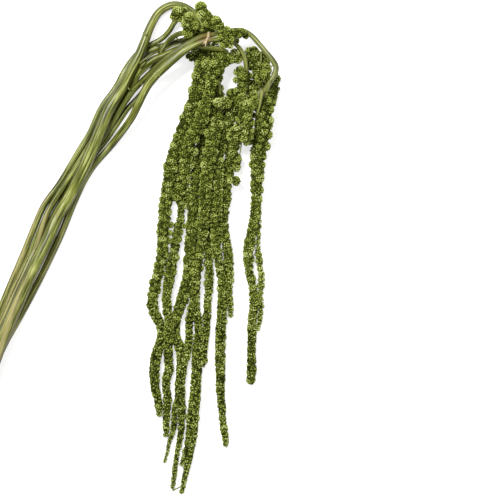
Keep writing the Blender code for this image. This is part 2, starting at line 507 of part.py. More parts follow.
def as_object(name, mesh):
    made = bpy.data.objects.new(name, mesh)
    bpy.context.scene.collection.objects.link(made)
    return made


def stem_mesh(stalk):
    """The smooth stem, from its cut end to just short of the head."""
    last = stalk.join - 4.0
    arcs = [0.0]
    while arcs[-1] < last - STEM_STEP:
        here, halfway, ahead = (stalk.place(arcs[-1] + share * STEM_STEP) for share in (0.0, 0.5, 1.0))
        bend = (halfway - here).angle(ahead - halfway)
        arcs.append(arcs[-1] + STEM_STEP * (1.0 if bend < SLIGHT_BEND else 0.6))
    arcs.append(last)
    points = [stalk.place(arc) for arc in arcs] + stalk.join_ends()[0]
    radii = [stalk.at(stalk.radius, arc) for arc in [*arcs, last, last]]
    return tube("stem", points, radii, stalk.stem_sides)


def knobbly_mesh(route):
    """A tassel strand: a tube whose corners stand out and lie back in turn, like the flower knobs on it."""
    arcs = [route.join, route.join + JOIN_STEP, route.join + 5.0] if route.join else [0.0]
    while arcs[-1] < route.arc[-1] - 3.0:
        arcs.append(arcs[-1] + min(max(route.at(route.radius, arcs[-1]), KNOB_STEP[0]), KNOB_STEP[1]))
    arcs[-1] = min(arcs[-1], route.arc[-1])
    radii = np.array([route.at(route.radius, arc) for arc in arcs])
    sides = route.head_sides
    points = [route.place(arc) for arc in arcs]
    if route.join:
        radii[0] = 1.2 * route.at(route.radius, route.join - 4.0)
        points[:2] = route.join_ends()[1]
    tip = points[-1] + (points[-1] - points[-2]).normalized() * 0.6 * radii[-1] * MM
    points.append(tip)
    radii = np.append(radii, max(0.4 * radii[-1], TIP_RADIUS))
    mesh = tube("strand", points, radii, sides)
    body = bmesh.new()
    body.from_mesh(mesh)
    body.verts.ensure_lookup_table()
    dips = set()
    for number, vertex in enumerate(body.verts[2 * sides :]):  # the corners of the two caps come first
        ring, side = divmod(number, sides)
        if (ring + side) % 2 and 0 < ring < len(points) - 1:
            vertex.co = vertex.co.lerp(points[ring], KNOB_DEPTH)
            dips.add(vertex)
    for face in list(body.faces):
        low = [vertex for vertex in face.verts if vertex in dips]
        if len(low) == 2:
            bmesh.utils.face_split(face, *low)
    bmesh.ops.remove_doubles(body, verts=body.verts, dist=0.00001)
    bmesh.ops.triangulate(body, faces=body.faces)
    body.to_mesh(mesh)
    body.free()
    return mesh


def weld(mesh):
    """Joins the corners that a curve's caps share with its sides."""
    holder = as_object("weld", mesh)
    welder = holder.modifiers.new("Weld", "WELD")
    welder.merge_threshold = 0.00001
    welded = bpy.data.meshes.new_from_object(holder.evaluated_get(bpy.context.evaluated_depsgraph_get()))
    bpy.data.objects.remove(holder)
    return welded


def union(name, meshes):
    """One object of the meshes, joined where they run into each other."""
    base = as_object(name, meshes[0])
    if len(meshes) > 1:
        others = bpy.data.collections.new(name + " strands")
        bpy.context.scene.collection.children.link(others)
        for mesh in meshes[1:]:
            others.objects.link(bpy.data.objects.new("strand", mesh))
        joiner = base.modifiers.new("Join", "BOOLEAN")
        joiner.operation = "UNION"
        joiner.operand_type = "COLLECTION"
        joiner.collection = others
        joiner.solver = "EXACT"
        joiner.use_self = True
        joined = bpy.data.meshes.new_from_object(base.evaluated_get(bpy.context.evaluated_depsgraph_get()))
        base.modifiers.clear()
        base.data = joined
        for other in list(others.objects):
            bpy.data.objects.remove(other)
        bpy.data.collections.remove(others)
    return base


def keep_outer_skin(piece):
    """Takes away the small closed hollows that the joined strands leave between them."""
    body = bmesh.new()
    body.from_mesh(piece.data)
    unseen = set(body.faces)
    skins = []
    while unseen:
        skin, edge_of_skin = set(), [unseen.pop()]
        while edge_of_skin:
            face = edge_of_skin.pop()
            skin.add(face)
            beside_it = {other for edge in face.edges for other in edge.link_faces} & unseen
            unseen -= beside_it
            edge_of_skin.extend(beside_it)
        skins.append(skin)
    outer = max(skins, key=len)
    print(f"{piece.name}: {len(skins)} skins, {len(outer)} faces kept")
    hollows = [face for skin in skins if skin is not outer for face in skin]
    bmesh.ops.delete(body, geom=hollows, context="FACES")
    body.to_mesh(piece.data)
    body.free()


def press_on_table(piece, settled=0.0):
    """Flattens what would reach below the table, or lies no more than that many millimetres above it."""
    for vertex in piece.data.vertices:
        if vertex.co.z < settled * MM:
            vertex.co.z = 0.0


def tie_station(stalk):
    """The length along a tied stalk at which it passes the tie."""
    return min(stalk.stations, key=lambda arc: (stalk.place(arc).xy.length, arc))


def tie_object(stalks):
    """The raffia: a ring drawn close round the tied stems, a knot on top, and two short ends."""
    tied = [stalks[name] for name in TIED]
    arcs = [tie_station(stalk) for stalk in tied]
    middles = [stalk.place(arc) for stalk, arc in zip(tied, arcs)]
    radii = [stalk.at(stalk.radius, arc) * MM for stalk, arc in zip(tied, arcs)]
    forward = (tied[0].place(arcs[0] + 4) - tied[0].place(arcs[0] - 4)).normalized()
    up = Vector((0, 0, 1))
    side = forward.cross(up).normalized()
    up = side.cross(forward).normalized()
    centre = sum(middles, Vector()) / len(middles)
    standoff = (TIE_GAP + TIE_RADIUS) * MM
    ring = []
    for number in range(TIE_SIDES):
        angle = 2 * math.pi * number / TIE_SIDES
        outward = math.cos(angle) * side + math.sin(angle) * up
        flat = [(middle - centre) - forward * (middle - centre).dot(forward) for middle in middles]
        far, radius = max(zip(flat, radii), key=lambda pair: pair[0].dot(outward) + pair[1])
        ring.append(centre + far + outward * (radius + standoff))
    top = max(ring, key=lambda point: point.z)
    knot = [top + forward * step * MM + up * 0.8 * MM for step in (-2.0, -1.0, 0.0, 1.0, 2.0)]
    meshes = [weld(tube("ring", ring, [TIE_RADIUS] * len(ring), 6, cyclic=True))]
    meshes.append(weld(tube("knot", knot, [0.9, 1.8, 2.1, 1.8, 0.9], 6)))
    sheet_up = Vector((0.45, 0.89, 0))
    for turn, length in ((1, 8.0), (-1, 5.0)):
        steps = (0.0, length / 2, length)
        end = [top + (up * (0.9 + 0.25 * step / length) + turn * sheet_up * step) * MM for step in steps]
        meshes.append(weld(tube("end", end, [1.0, 0.9, 0.6], 6)))
    return union("tie", meshes)


def main():
    for old in list(bpy.data.objects):
        bpy.data.objects.remove(old)
    stalks, strands = read_routes()
    lay([*stalks.values(), *strands])
    finishes = {name: finish(name) for name in FINISHES}
    for name, stalk in stalks.items():
        stem = union(f"stem_{name}", [weld(stem_mesh(stalk))])
        own = [strand for strand in strands if strand.node == name]
        head = union(f"head_{name}", [knobbly_mesh(route) for route in [stalk, *own]])
        keep_outer_skin(head)
        press_on_table(stem, STEM_SETTLED)
        press_on_table(head)
        for piece, look in ((stem, "stem"), (head, "tassel")):
            piece.data.materials.clear()
            piece.data.materials.append(finishes[look])
    tie = tie_object(stalks)
    tie.data.materials.clear()
    tie.data.materials.append(finishes["raffia"])


main()
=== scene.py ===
# %% [markdown]
# # A cut bunch of green hanging amaranth
#
# Seven stalks of amaranth lie on a white table. Each one is a smooth, ridged stem that arches over and
# ends in long hanging tassels. A tassel is a string of round flower clusters, and each cluster is a ball
# of tiny green florets. Two of the stems are tied with a wisp of raffia.
#
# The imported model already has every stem, tassel and tie in its true place, as plain closed solids. This
# script reads those solids, works out where their middles and surfaces run, and dresses them: fine round
# stems, tassels built up floret by floret, and a tie of single threads. It also adds the materials, the
# light and the camera.

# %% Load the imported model
import math

import bmesh
import bpy
import numpy as np
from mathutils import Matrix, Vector
from mathutils.bvhtree import BVHTree
from mathutils.kdtree import KDTree


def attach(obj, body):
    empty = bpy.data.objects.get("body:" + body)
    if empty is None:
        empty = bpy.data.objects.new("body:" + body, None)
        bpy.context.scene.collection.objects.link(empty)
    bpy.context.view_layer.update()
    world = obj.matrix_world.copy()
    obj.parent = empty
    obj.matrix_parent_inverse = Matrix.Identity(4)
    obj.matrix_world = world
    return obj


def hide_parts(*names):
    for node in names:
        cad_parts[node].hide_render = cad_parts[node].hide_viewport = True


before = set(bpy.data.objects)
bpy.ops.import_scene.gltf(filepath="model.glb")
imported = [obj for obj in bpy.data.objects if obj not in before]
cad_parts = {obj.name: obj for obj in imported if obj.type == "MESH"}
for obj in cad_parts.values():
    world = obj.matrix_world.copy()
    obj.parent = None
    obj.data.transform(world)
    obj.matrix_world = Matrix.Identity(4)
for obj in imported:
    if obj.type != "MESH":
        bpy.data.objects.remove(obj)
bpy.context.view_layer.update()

MM = 0.001
draw = np.random.default_rng(4831)

# %% [markdown]
# ## Helpers for the materials
#
# Each material here is a Principled BSDF whose colour comes from a few nodes. They could be set up one by
# one in every material, as in the editor. These helpers make and wire them in a line each, so that each
# material below reads as a recipe.

# %% Nodes of a material
def shader_material(name):
    """A new material and its Principled BSDF node."""
    material = bpy.data.materials.new(name)
    material.use_nodes = True
    return material, material.node_tree.nodes["Principled BSDF"]


def node(material, kind, **options):
    """A new node of that kind, with its options set."""
    made = material.node_tree.nodes.new(kind)
    for key, value in options.items():
        setattr(made, key, value)
    return made


def wire(material, source, target):
    material.node_tree.links.new(source, target)


def feed(material, value, target):
    """Wire the value to the input if it is an output, or else set the input to it."""
    if isinstance(value, bpy.types.NodeSocket):
        wire(material, value, target)
    else:
        target.default_value = value


def attribute(material, name, output="Fac"):
    """The output that reads an attribute of the mesh."""
    return node(material, "ShaderNodeAttribute", attribute_name=name).outputs[output]


def ramp(material, factor, stops):
    """A colour ramp through (position, colour) stops."""
    made = node(material, "ShaderNodeValToRGB")
    elements = made.color_ramp.elements
    while len(elements) < len(stops):
        elements.new(0.5)
    for element, (position, colour) in zip(elements, stops):
        element.position = position
        element.color = (*colour, 1)
    wire(material, factor, made.inputs["Fac"])
    return made.outputs["Color"]


def noise(material, vector, scale, detail=3.0):
    """A noise value between 0 and 1."""
    made = node(material, "ShaderNodeTexNoise")
    made.inputs["Scale"].default_value = scale
    made.inputs["Detail"].default_value = detail
    wire(material, vector, made.inputs["Vector"])
    return made.outputs["Fac"]


def place_on_object(material):
    return node(material, "ShaderNodeTexCoord").outputs["Object"]


def mixed(material, factor, first, second):
    """A colour mixed from two others. For colours, the node reads inputs 0, 6 and 7 and fills output 2."""
    made = node(material, "ShaderNodeMix", data_type="RGBA")
    for socket, value in ((0, factor), (6, first), (7, second)):
        feed(material, value, made.inputs[socket])
    return made.outputs[2]


def mottled(name, scale, dark, pale, roughness):
    """A material whose colour wavers between a dark and a pale one, and its Principled BSDF node."""
    material, shader = shader_material(name)
    spots = noise(material, place_on_object(material), scale)
    wire(material, ramp(material, spots, [(0.3, dark), (0.7, pale)]), shader.inputs["Base Color"])
    shader.inputs["Roughness"].default_value = roughness
    return material, shader


def arithmetic(material, operation, first, second, clamp=False):
    """A number worked out from two others."""
    made = node(material, "ShaderNodeMath", operation=operation, use_clamp=clamp)
    feed(material, first, made.inputs[0])
    feed(material, second, made.inputs[1])
    return made.outputs[0]


# %% [markdown]
# ## Camera, table and light
#
# The bunch is seen from straight above. The picture takes in half a metre of table, with the tie near its
# top edge. A long lens from far away keeps the high and the low parts of the bunch at the same scale.
#
# The table is white. It could be a bare backdrop, but then the bunch would seem to float. A lamp half a
# metre wide, high at the upper left, models the round tassels and leaves their flanks dark. A weak one
# fills from the right, and the pale surroundings keep the shadows soft. To the camera alone the table
# glows a little, which washes its shadows out as on a light table.

# %% Camera
VIEW_SIDE = 0.5  # metres
VIEW_MIDDLE = Vector((44, -211, 12)) * MM
LENS = 300.0  # millimetres, like the sensor
SENSOR = 36.0

camera_data = bpy.data.cameras.new("camera")
camera_data.lens = LENS
camera_data.sensor_width = SENSOR
camera = bpy.data.objects.new("camera", camera_data)
camera.location = VIEW_MIDDLE + Vector((0, 0, VIEW_SIDE * LENS / SENSOR))
bpy.context.scene.collection.objects.link(camera)
bpy.context.scene.camera = camera

# %% Table and lamps
def as_object(name, mesh):
    made = bpy.data.objects.new(name, mesh)
    bpy.context.scene.collection.objects.link(made)
    return made


def mesh_from(body, name):
    """A mesh of that name from a bmesh, which is freed."""
    mesh = bpy.data.meshes.new(name)
    body.to_mesh(mesh)
    body.free()
    return mesh


TABLE_SIDE = 6.0  # metres
TABLE_GLOW = 0.66
TABLE_DROP = 0.4 * MM  # the table lies this far under the bunch
table_body = bmesh.new()
bmesh.ops.create_grid(table_body, x_segments=1, y_segments=1, size=TABLE_SIDE / 2)
bmesh.ops.translate(table_body, verts=table_body.verts, vec=(0, 0, -TABLE_DROP))
table = as_object("table", mesh_from(table_body, "table"))
table_white, table_shader = shader_material("table_white")
table_shader.inputs["Base Color"].default_value = (0.8, 0.8, 0.8, 1)
table_shader.inputs["Roughness"].default_value = 0.9
table_shader.inputs["Emission Color"].default_value = (1, 1, 1, 1)
seen_by_camera = node(table_white, "ShaderNodeLightPath").outputs["Is Camera Ray"]
glow = arithmetic(table_white, "MULTIPLY", seen_by_camera, TABLE_GLOW)
wire(table_white, glow, table_shader.inputs["Emission Strength"])
table.data.materials.append(table_white)

LAMPS = {  # place, side of the lamp in metres, power in watts
    "key": ((-0.6, 0.85, 1.8), 0.5, 47.0),
    "fill": ((1.3, -0.5, 1.6), 1.6, 7.0),
}
for lamp_name, (place, side, power) in LAMPS.items():
    lamp_data = bpy.data.lights.new(lamp_name, "AREA")
    lamp_data.size = side
    lamp_data.energy = power
    lamp = bpy.data.objects.new(lamp_name, lamp_data)
    lamp.location = place
    lamp.rotation_euler = (VIEW_MIDDLE - Vector(place)).to_track_quat("-Z", "Y").to_euler()
    bpy.context.scene.collection.objects.link(lamp)

sky = bpy.data.worlds.new("pale room")
sky.use_nodes = True
sky.node_tree.nodes["Background"].inputs["Color"].default_value = (1, 1, 1, 1)
sky.node_tree.nodes["Background"].inputs["Strength"].default_value = 0.4
bpy.context.scene.world = sky
bpy.context.scene.view_settings.view_transform = "Standard"

# %% [markdown]
# ## The materials of the tassels
#
# A floret is painted darkest where it sits in its cluster and palest at its tip, and a cluster is painted
# darkest on its flanks, where it meets its neighbours: both are painted shade. Some clusters are fresher
# than others, and so is one end of a tassel. One flat green could stand for all this from far away, but
# the clusters would melt into one another.
#
# So numbers on the mesh carry it to the material: `tip` runs from 0 at the foot of a floret to 1 at its
# point and `face` from 0 on a cluster's flank to 1 at its front, and both lighten the colour as painted
# shade; `tint` differs from floret to floret and `cluster` from cluster to cluster. A slow noise varies
# along the tassel. The inside of a tassel, which shows only in the cracks, is a near-black green that is
# painted shade.

# %% Floret and heart of the tassel
# Painted shade: `tip` and `face` darken florets at their feet, deep in a tassel and on the flanks of
# clusters. `tint`, `cluster` and the patches are real differences in tone.
FLORET_SHADE_AND_TONE_SHARES = {"tip": 0.20, "face": 0.49, "tint": 0.10, "cluster": 0.20}
PATCH_SHARE = 0.16

floret_green, floret_shader = shader_material("floret_green")
patches = noise(floret_green, place_on_object(floret_green), scale=45.0)
lightness = arithmetic(floret_green, "MULTIPLY", patches, PATCH_SHARE)
for key, share in FLORET_SHADE_AND_TONE_SHARES.items():
    part = arithmetic(floret_green, "MULTIPLY", attribute(floret_green, key), share)
    lightness = arithmetic(floret_green, "ADD", lightness, part)
floret_colour = ramp(floret_green, lightness, [
    (0.29, (0.010, 0.015, 0.000)),
    (0.49, (0.058, 0.076, 0.008)),
    (0.67, (0.160, 0.196, 0.028)),
    (0.84, (0.330, 0.385, 0.070)),
    (1.00, (0.560, 0.620, 0.215)),
])
wire(floret_green, floret_colour, floret_shader.inputs["Base Color"])
floret_shader.inputs["Roughness"].default_value = 0.75
floret_shader.inputs["Specular IOR Level"].default_value = 0.08

# Painted shade: the near-black green of the heart and the cores stands for the shade at the bottom of the
# cracks.
heart_shade_green, heart_shader = mottled(
    "tassel_heart_shade", 160.0, (0.018, 0.025, 0.002), (0.045, 0.058, 0.008), roughness=0.95
)
heart_shader.inputs["Specular IOR Level"].default_value = 0.1

# %% [markdown]
# ## One floret
#
# An amaranth floret is a pointed bud up to two millimetres long, with five small papery leaves round a
# seed. Each leaf could be modelled, but tens of thousands of florets cover the bunch, so each gets as few
# faces as its shape allows: a five-sided cup that widens upwards, whose upper face is drawn out to a
# point.

# %% Model the floret
FLORET_SIDES = 5
FLORET_RADII = (0.62 * MM, 0.98 * MM)  # at the foot, at the rim
FLORET_HEIGHT = 1.1 * MM  # up to the rim
FLORET_POINT = 0.5 * MM  # above the rim
FLORET_SUNK = 0.1 * MM

floret_body = bmesh.new()
bmesh.ops.create_cone(
    floret_body,
    cap_ends=True,
    segments=FLORET_SIDES,
    radius1=FLORET_RADII[0],
    radius2=FLORET_RADII[1],
    depth=FLORET_HEIGHT,
)
top_face = max(floret_body.faces, key=lambda face: face.calc_center_median().z)
point = bmesh.ops.poke(floret_body, faces=[top_face])["verts"]
bmesh.ops.translate(floret_body, verts=point, vec=(0, 0, FLORET_POINT))
bmesh.ops.translate(floret_body, verts=floret_body.verts, vec=(0, 0, -FLORET_SUNK))
for face in floret_body.faces:
    face.smooth = True
# Painted shade: the floret material darkens each floret towards its foot by `tip`, which runs from 0 there
# to 1 at the point.
tip_layer = floret_body.verts.layers.float.new("tip")
heights = [vertex.co.z for vertex in floret_body.verts]
lowest, highest = min(heights), max(heights)
for vertex in floret_body.verts:
    vertex[tip_layer] = (vertex.co.z - lowest) / (highest - lowest)
floret_faces = sum(len(face.verts) - 2 for face in floret_body.faces)
floret = as_object("floret", mesh_from(floret_body, "floret"))
floret.data.materials.append(floret_green)
print("one floret:", floret_faces, "triangles")

# %% [markdown]
# ## Places seen from above
#
# Some clusters and thin stalks stand out on the real bunch. Placed in space by hand, they could float or
# sink. So they are listed only where they are seen from above, in millimetres to the right and down on a
# sheet on which the tie is at (206, 39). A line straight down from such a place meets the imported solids
# at its height. Where it misses them, the nearest solid gives the height.

# %% Look straight down
TIE_ON_SHEET = (206.0, 39.0)
HEADS = [f"head_{number}" for number in range(1, 8)]
STEMS = [f"stem_{number}" for number in range(1, 8)]
HALF_WAY_UP = Vector((0, 0, 12 * MM))
ABOVE_ALL = Vector((0, 0, 1))
DOWN = Vector((0, 0, -1))


def skin_tree(name):
    """The surface of a CAD node, for rays and distances."""
    body = bmesh.new()
    body.from_mesh(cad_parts[name].data)
    tree = BVHTree.FromBMesh(body)
    body.free()
    return tree


solids = {name: skin_tree(name) for name in HEADS + STEMS}


def from_above(x, y, names):
    """The place on the first of those solids under a point of the sheet, and its name."""
    place = Vector((x - TIE_ON_SHEET[0], TIE_ON_SHEET[1] - y, 0)) * MM
    hits = [(solids[name].ray_cast(place + ABOVE_ALL, DOWN)[0], name) for name in names]
    hits = [(hit, name) for hit, name in hits if hit]
    if hits:
        return max(hits, key=lambda pair: pair[0].z)
    middle = place + HALF_WAY_UP
    hit, name = min(
        ((solids[name].find_nearest(middle)[0], name) for name in names),
        key=lambda pair: (pair[0] - middle).length,
    )
    return Vector((place.x, place.y, hit.z)), name


# %% [markdown]
# ## Read a tassel's surface
#
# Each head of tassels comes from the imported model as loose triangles, so a copy of them is merged to a
# closed skin. Geometry Nodes could scatter points on it, but here each point also has to know how thick
# the tassel is under it, as that sets the size of its cluster. So the points are drawn here, each with
# the direction that faces out and with the thickness, which a ray straight through to the far side
# measures.

# %% Points on the skin
WELD = 2e-6  # corners nearer than this, in metres, are one
RAY_START = 0.05 * MM  # under the skin
NO_FAR_SIDE = 2 * MM  # the thickness where a ray finds no far side


def merged(name):
    """A bmesh copy of a CAD node, with its corners joined."""
    body = bmesh.new()
    body.from_mesh(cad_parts[name].data)
    bmesh.ops.remove_doubles(body, verts=body.verts, dist=WELD)
    return body


def skin_points(body, area_each):
    """Places spread over the skin, the way out at each, and the thickness under each."""
    tree = BVHTree.FromBMesh(body)
    faces = list(body.faces)
    corners = np.array([[vertex.co[:] for vertex in face.verts] for face in faces])
    normals = np.array([[vertex.normal[:] for vertex in face.verts] for face in faces])
    areas = np.array([face.calc_area() for face in faces])
    count = int(areas.sum() / area_each)
    pick = draw.choice(len(faces), count, p=areas / areas.sum())
    weights = draw.dirichlet((1, 1, 1), count)[:, :, None]
    places = (corners[pick] * weights).sum(1)
    outward = (normals[pick] * weights).sum(1)
    outward /= np.linalg.norm(outward, axis=1)[:, None]
    thickness = np.empty(count)
    for number, (place, out) in enumerate(zip(places, outward)):
        distance = tree.ray_cast(Vector(place - out * RAY_START), Vector(-out))[3]
        thickness[number] = distance or NO_FAR_SIDE
    return places, outward, thickness


# %% [markdown]
# ## Clusters on the skin
#
# On the real plant, the clusters sit shoulder to shoulder round a thin axis, larger where the tassel is
# thick, and towards the tips they merge to a rope. Rows of balls would look made by a machine. So points
# are taken in a random order, and one is kept as the middle of a cluster only if no kept neighbour is
# nearer than the two would sit. The gaps that the large clusters leave are then filled by smaller ones in
# the same way. A table of cubes makes the search for neighbours quick.

# %% Choose the clusters
LARGE_CLUSTER = (4.0 * MM, 0.07)  # the full radius: a start, and its growth with thickness
CLUSTER_RADIUS = (1.5 * MM, 6.0 * MM)
CLUSTER_VARIES = (0.88, 1.12)
FILL_SIZES = (1.0, 0.72, 0.52, 0.4)  # shares of the full radius
FILL_SUNK = 0.16  # a share of the thickness: small clusters, which fill the gaps, lie deeper
LEAST_DEEP = 0.25  # the middle of a cluster is at least this share of its radius under the skin
CLUSTER_SPACING = (0.42, 0.72)  # between two middles, over the sum of their radii: at the tips, above
MERGING = (-320 * MM, -240 * MM)  # on y: where the clusters are merged, and where they stand apart
CLUSTER_STAND_OUT = 1.3 * MM
THICKNESS_REACH = 3.5 * MM
THICKNESS_RANK = 65  # percent of the neighbours are thinner than the thickness that is taken
TWO_RADII = 2.4  # a cube is wider than two clusters' radii together


# %% Look up neighbours
class Cubes:
    """Kept points, looked up by the cube of space that they lie in."""

    def __init__(self, side):
        self.side = side
        self.filled = {}

    def cell(self, place):
        return tuple(int(math.floor(value / self.side)) for value in place)

    def add(self, place, item):
        self.filled.setdefault(self.cell(place), []).append((place, item))

    def near(self, place):
        x, y, z = self.cell(place)
        for i in (x - 1, x, x + 1):
            for j in (y - 1, y, y + 1):
                for k in (z - 1, z, z + 1):
                    yield from self.filled.get((i, j, k), ())


def evened(places, thickness):
    """Each thickness, replaced by one of the larger ones near it."""
    tree = KDTree(len(places))
    for number, place in enumerate(places):
        tree.insert(place, number)
    tree.balance()
    around = [[row[1] for row in tree.find_range(place, THICKNESS_REACH)] for place in places]
    return np.array([np.percentile(thickness[near], THICKNESS_RANK) for near in around])


# %% Keep a cluster if it has room
def choose_clusters(skin, places, outward, thickness, first):
    """The middles and radii of the clusters. The ones in first are kept as they are."""
    tree = BVHTree.FromBMesh(skin)
    low, high = CLUSTER_RADIUS
    thickness = evened(places, thickness)
    start, growth = LARGE_CLUSTER
    full = np.minimum(0.5 * thickness + CLUSTER_STAND_OUT, start + growth * thickness)
    spacing = np.interp(places[:, 1], MERGING, CLUSTER_SPACING)
    cubes = Cubes(TWO_RADII * CLUSTER_SPACING[1] * high)
    kept = list(first)
    for middle, radius in first:
        cubes.add(middle, radius)
    for share in FILL_SIZES:
        radii = np.clip(share * full * draw.uniform(*CLUSTER_VARIES, len(full)), low, high)
        sunk = FILL_SUNK * (1 - share) * thickness
        depths = np.minimum(radii - CLUSTER_STAND_OUT + sunk, 0.5 * thickness)
        middles = places - outward * depths[:, None]
        for middle, radius, apart in zip(middles.tolist(), radii.tolist(), spacing.tolist()):
            near = cubes.near(middle)
            if all(math.dist(middle, other) > apart * (radius + size) for other, size in near):
                nearest, normal, _, _ = tree.find_nearest(middle)
                if (nearest - Vector(middle)).dot(normal) > LEAST_DEEP * radius:
                    cubes.add(middle, radius)
                    kept.append((middle, radius))
    middles, radii = zip(*kept)
    return np.array(middles), np.array(radii)


# %% [markdown]
# ## Florets on a cluster
#
# A cluster is a ball of florets that point outwards. Points drawn at random would crowd and leave gaps,
# and a spiral like that of a sunflower spreads them evenly. No floret is planted deep under the skin of
# the tassel, inside a neighbouring cluster or below the table. Each one points straight out of its
# cluster, give or take a few degrees.
#
# Between the clusters the heart of the tassel would still show. There, single florets are planted a
# little under the skin, in the shade, and their colour is darkened as painted shade. The florets on the
# clusters are painted darker too, the deeper they sit and the nearer they are to the next cluster.

# %% Plant the florets
FLORET_AREA = 3.7 * MM * MM
FLORET_GAP = 1.35 * MM
FLORET_RISE = 0.75 * MM  # a cluster's surface lies about this far above the places of its florets
FEWEST_FLORETS = 7
FULL_SIZE_CLUSTER = 3.6 * MM  # florets on a cluster of this radius have their own size
FLORET_SIZES = (0.74, 1.06)  # on the smallest and on the largest clusters
FLORET_VARIES = (0.85, 1.2)
FLORET_WANDER = 0.2 * MM
DEEPEST = 2.8 * MM  # no floret is planted further than this under the skin
NEXT_CLUSTER = 0.2 * MM  # nor further than this into the next cluster
# Painted shade: the material colours florets darker the nearer they sit to the next cluster, and the deeper
# under the skin.
PAINTED_SEAM_SHADE = (0.28, 0.56)  # florets darken this near to the next cluster, over the radius: at the tips, above
GOLDEN_ANGLE = math.pi * (3 - math.sqrt(5))
LOWEST_FLORET = 1.2 * MM
FLORET_CUBE = 1.62 * MM  # a cube is wider than any gap that is looked up in it

# Florets between the clusters
GAP_FLORET = (1.7 * MM, 0.3)  # their depth, and the share of the thickness that it never exceeds
GAP_FLORETS_APART = 1.5 * MM
GAP_INSIDE = 0.5 * FLORET_RISE  # one that lies further than this inside a cluster is left out
GAP_SIZES = (0.8, 1.05)
# Painted shade: the florets between the clusters get a low `face`, which colours them dark.
GAP_PAINTED_SHADE = 0.1  # they lie in the shade of the clusters


def spiral(count):
    """Directions spread evenly all round."""
    height = 1 - (2 * np.arange(count) + 1) / count
    turn = GOLDEN_ANGLE * np.arange(count)
    across = np.sqrt(1 - height**2)
    return np.stack([across * np.cos(turn), across * np.sin(turn), height], axis=1)


# %% Florets on and between the clusters
def plant(skin, middles, radii, places, outward, thickness):
    """A row for every floret: place, direction, size, the random tone of its cluster, and `face`, its
    painted shade.
    """
    tree = BVHTree.FromBMesh(skin)
    balls = Cubes(TWO_RADII * CLUSTER_RADIUS[1])
    for middle, radius in zip(middles.tolist(), radii.tolist()):
        balls.add(middle, radius)
    planted = Cubes(FLORET_CUBE)
    rows = []
    for middle, radius in zip(middles, radii):
        own = middle.tolist()
        size = np.clip(radius / FULL_SIZE_CLUSTER, *FLORET_SIZES)
        foot = radius - FLORET_RISE * size
        ways = spiral(max(int(4 * math.pi * foot**2 / (FLORET_AREA * size**2)), FEWEST_FLORETS))
        spin = Vector(draw.normal(size=3)).to_track_quat("Z", "X").to_matrix()
        ways = ways @ np.array(spin).T + draw.normal(scale=FLORET_WANDER / foot, size=ways.shape)
        ways /= np.linalg.norm(ways, axis=1)[:, None]
        shade = draw.uniform()
        reach = radius * np.interp(middle[1], MERGING, PAINTED_SEAM_SHADE)
        neighbours = [ball for ball in balls.near(own) if ball[0] != own]
        for way in ways:
            place = (middle + foot * way).tolist()
            if place[2] < LOWEST_FLORET:
                continue
            seam = min((math.dist(place, other) - r for other, r in neighbours), default=reach)
            seam += FLORET_RISE
            if seam < -NEXT_CLUSTER:
                continue
            if any(math.dist(place, other) < FLORET_GAP * size for other, _ in planted.near(place)):
                continue
            nearest, normal, _, _ = tree.find_nearest(place)
            depth = (nearest - Vector(place)).dot(normal)
            if depth > DEEPEST:
                continue
            planted.add(place, None)
            # Painted shade: `face` darkens a floret deep under the skin and near the next cluster.
            face = min(max(1.0 - depth / DEEPEST, 0.0), max(seam / reach, 0.0), 1.0)
            rows.append((*place, *way, size * draw.uniform(*FLORET_VARIES), shade, face))
    depths = np.minimum(GAP_FLORET[0], GAP_FLORET[1] * thickness)
    for place, way in zip((places - outward * depths[:, None]).tolist(), outward):
        if place[2] < LOWEST_FLORET:
            continue
        if any(math.dist(place, other) < GAP_FLORETS_APART for other, _ in planted.near(place)):
            continue
        if any(math.dist(place, other) < r - GAP_INSIDE for other, r in balls.near(place)):
            continue
        planted.add(place, None)
        rows.append((*place, *way, draw.uniform(*GAP_SIZES), draw.uniform(), GAP_PAINTED_SHADE))
    return np.array(rows)


# %% [markdown]
# ## From points to florets
#
# The floret could be copied to every point by a loop, but Geometry Nodes does it in a moment: *Instance
# on Points* puts one on each point, with the turn and the size that the point carries, and *Realize
# Instances* makes them true faces. The result is then kept as an ordinary mesh, with no modifier left on
# it. The same nodes put a small ball, the core of the cluster, at the middle of each cluster, so that no
# light shows through between the florets. Its near-black green is the heart's, painted shade.

# %% Core of a cluster
core_body = bmesh.new()
bmesh.ops.create_icosphere(core_body, subdivisions=1, radius=1.0)
for face in core_body.faces:
    face.smooth = True
core = as_object("core", mesh_from(core_body, "core"))
core.data.materials.append(heart_shade_green)

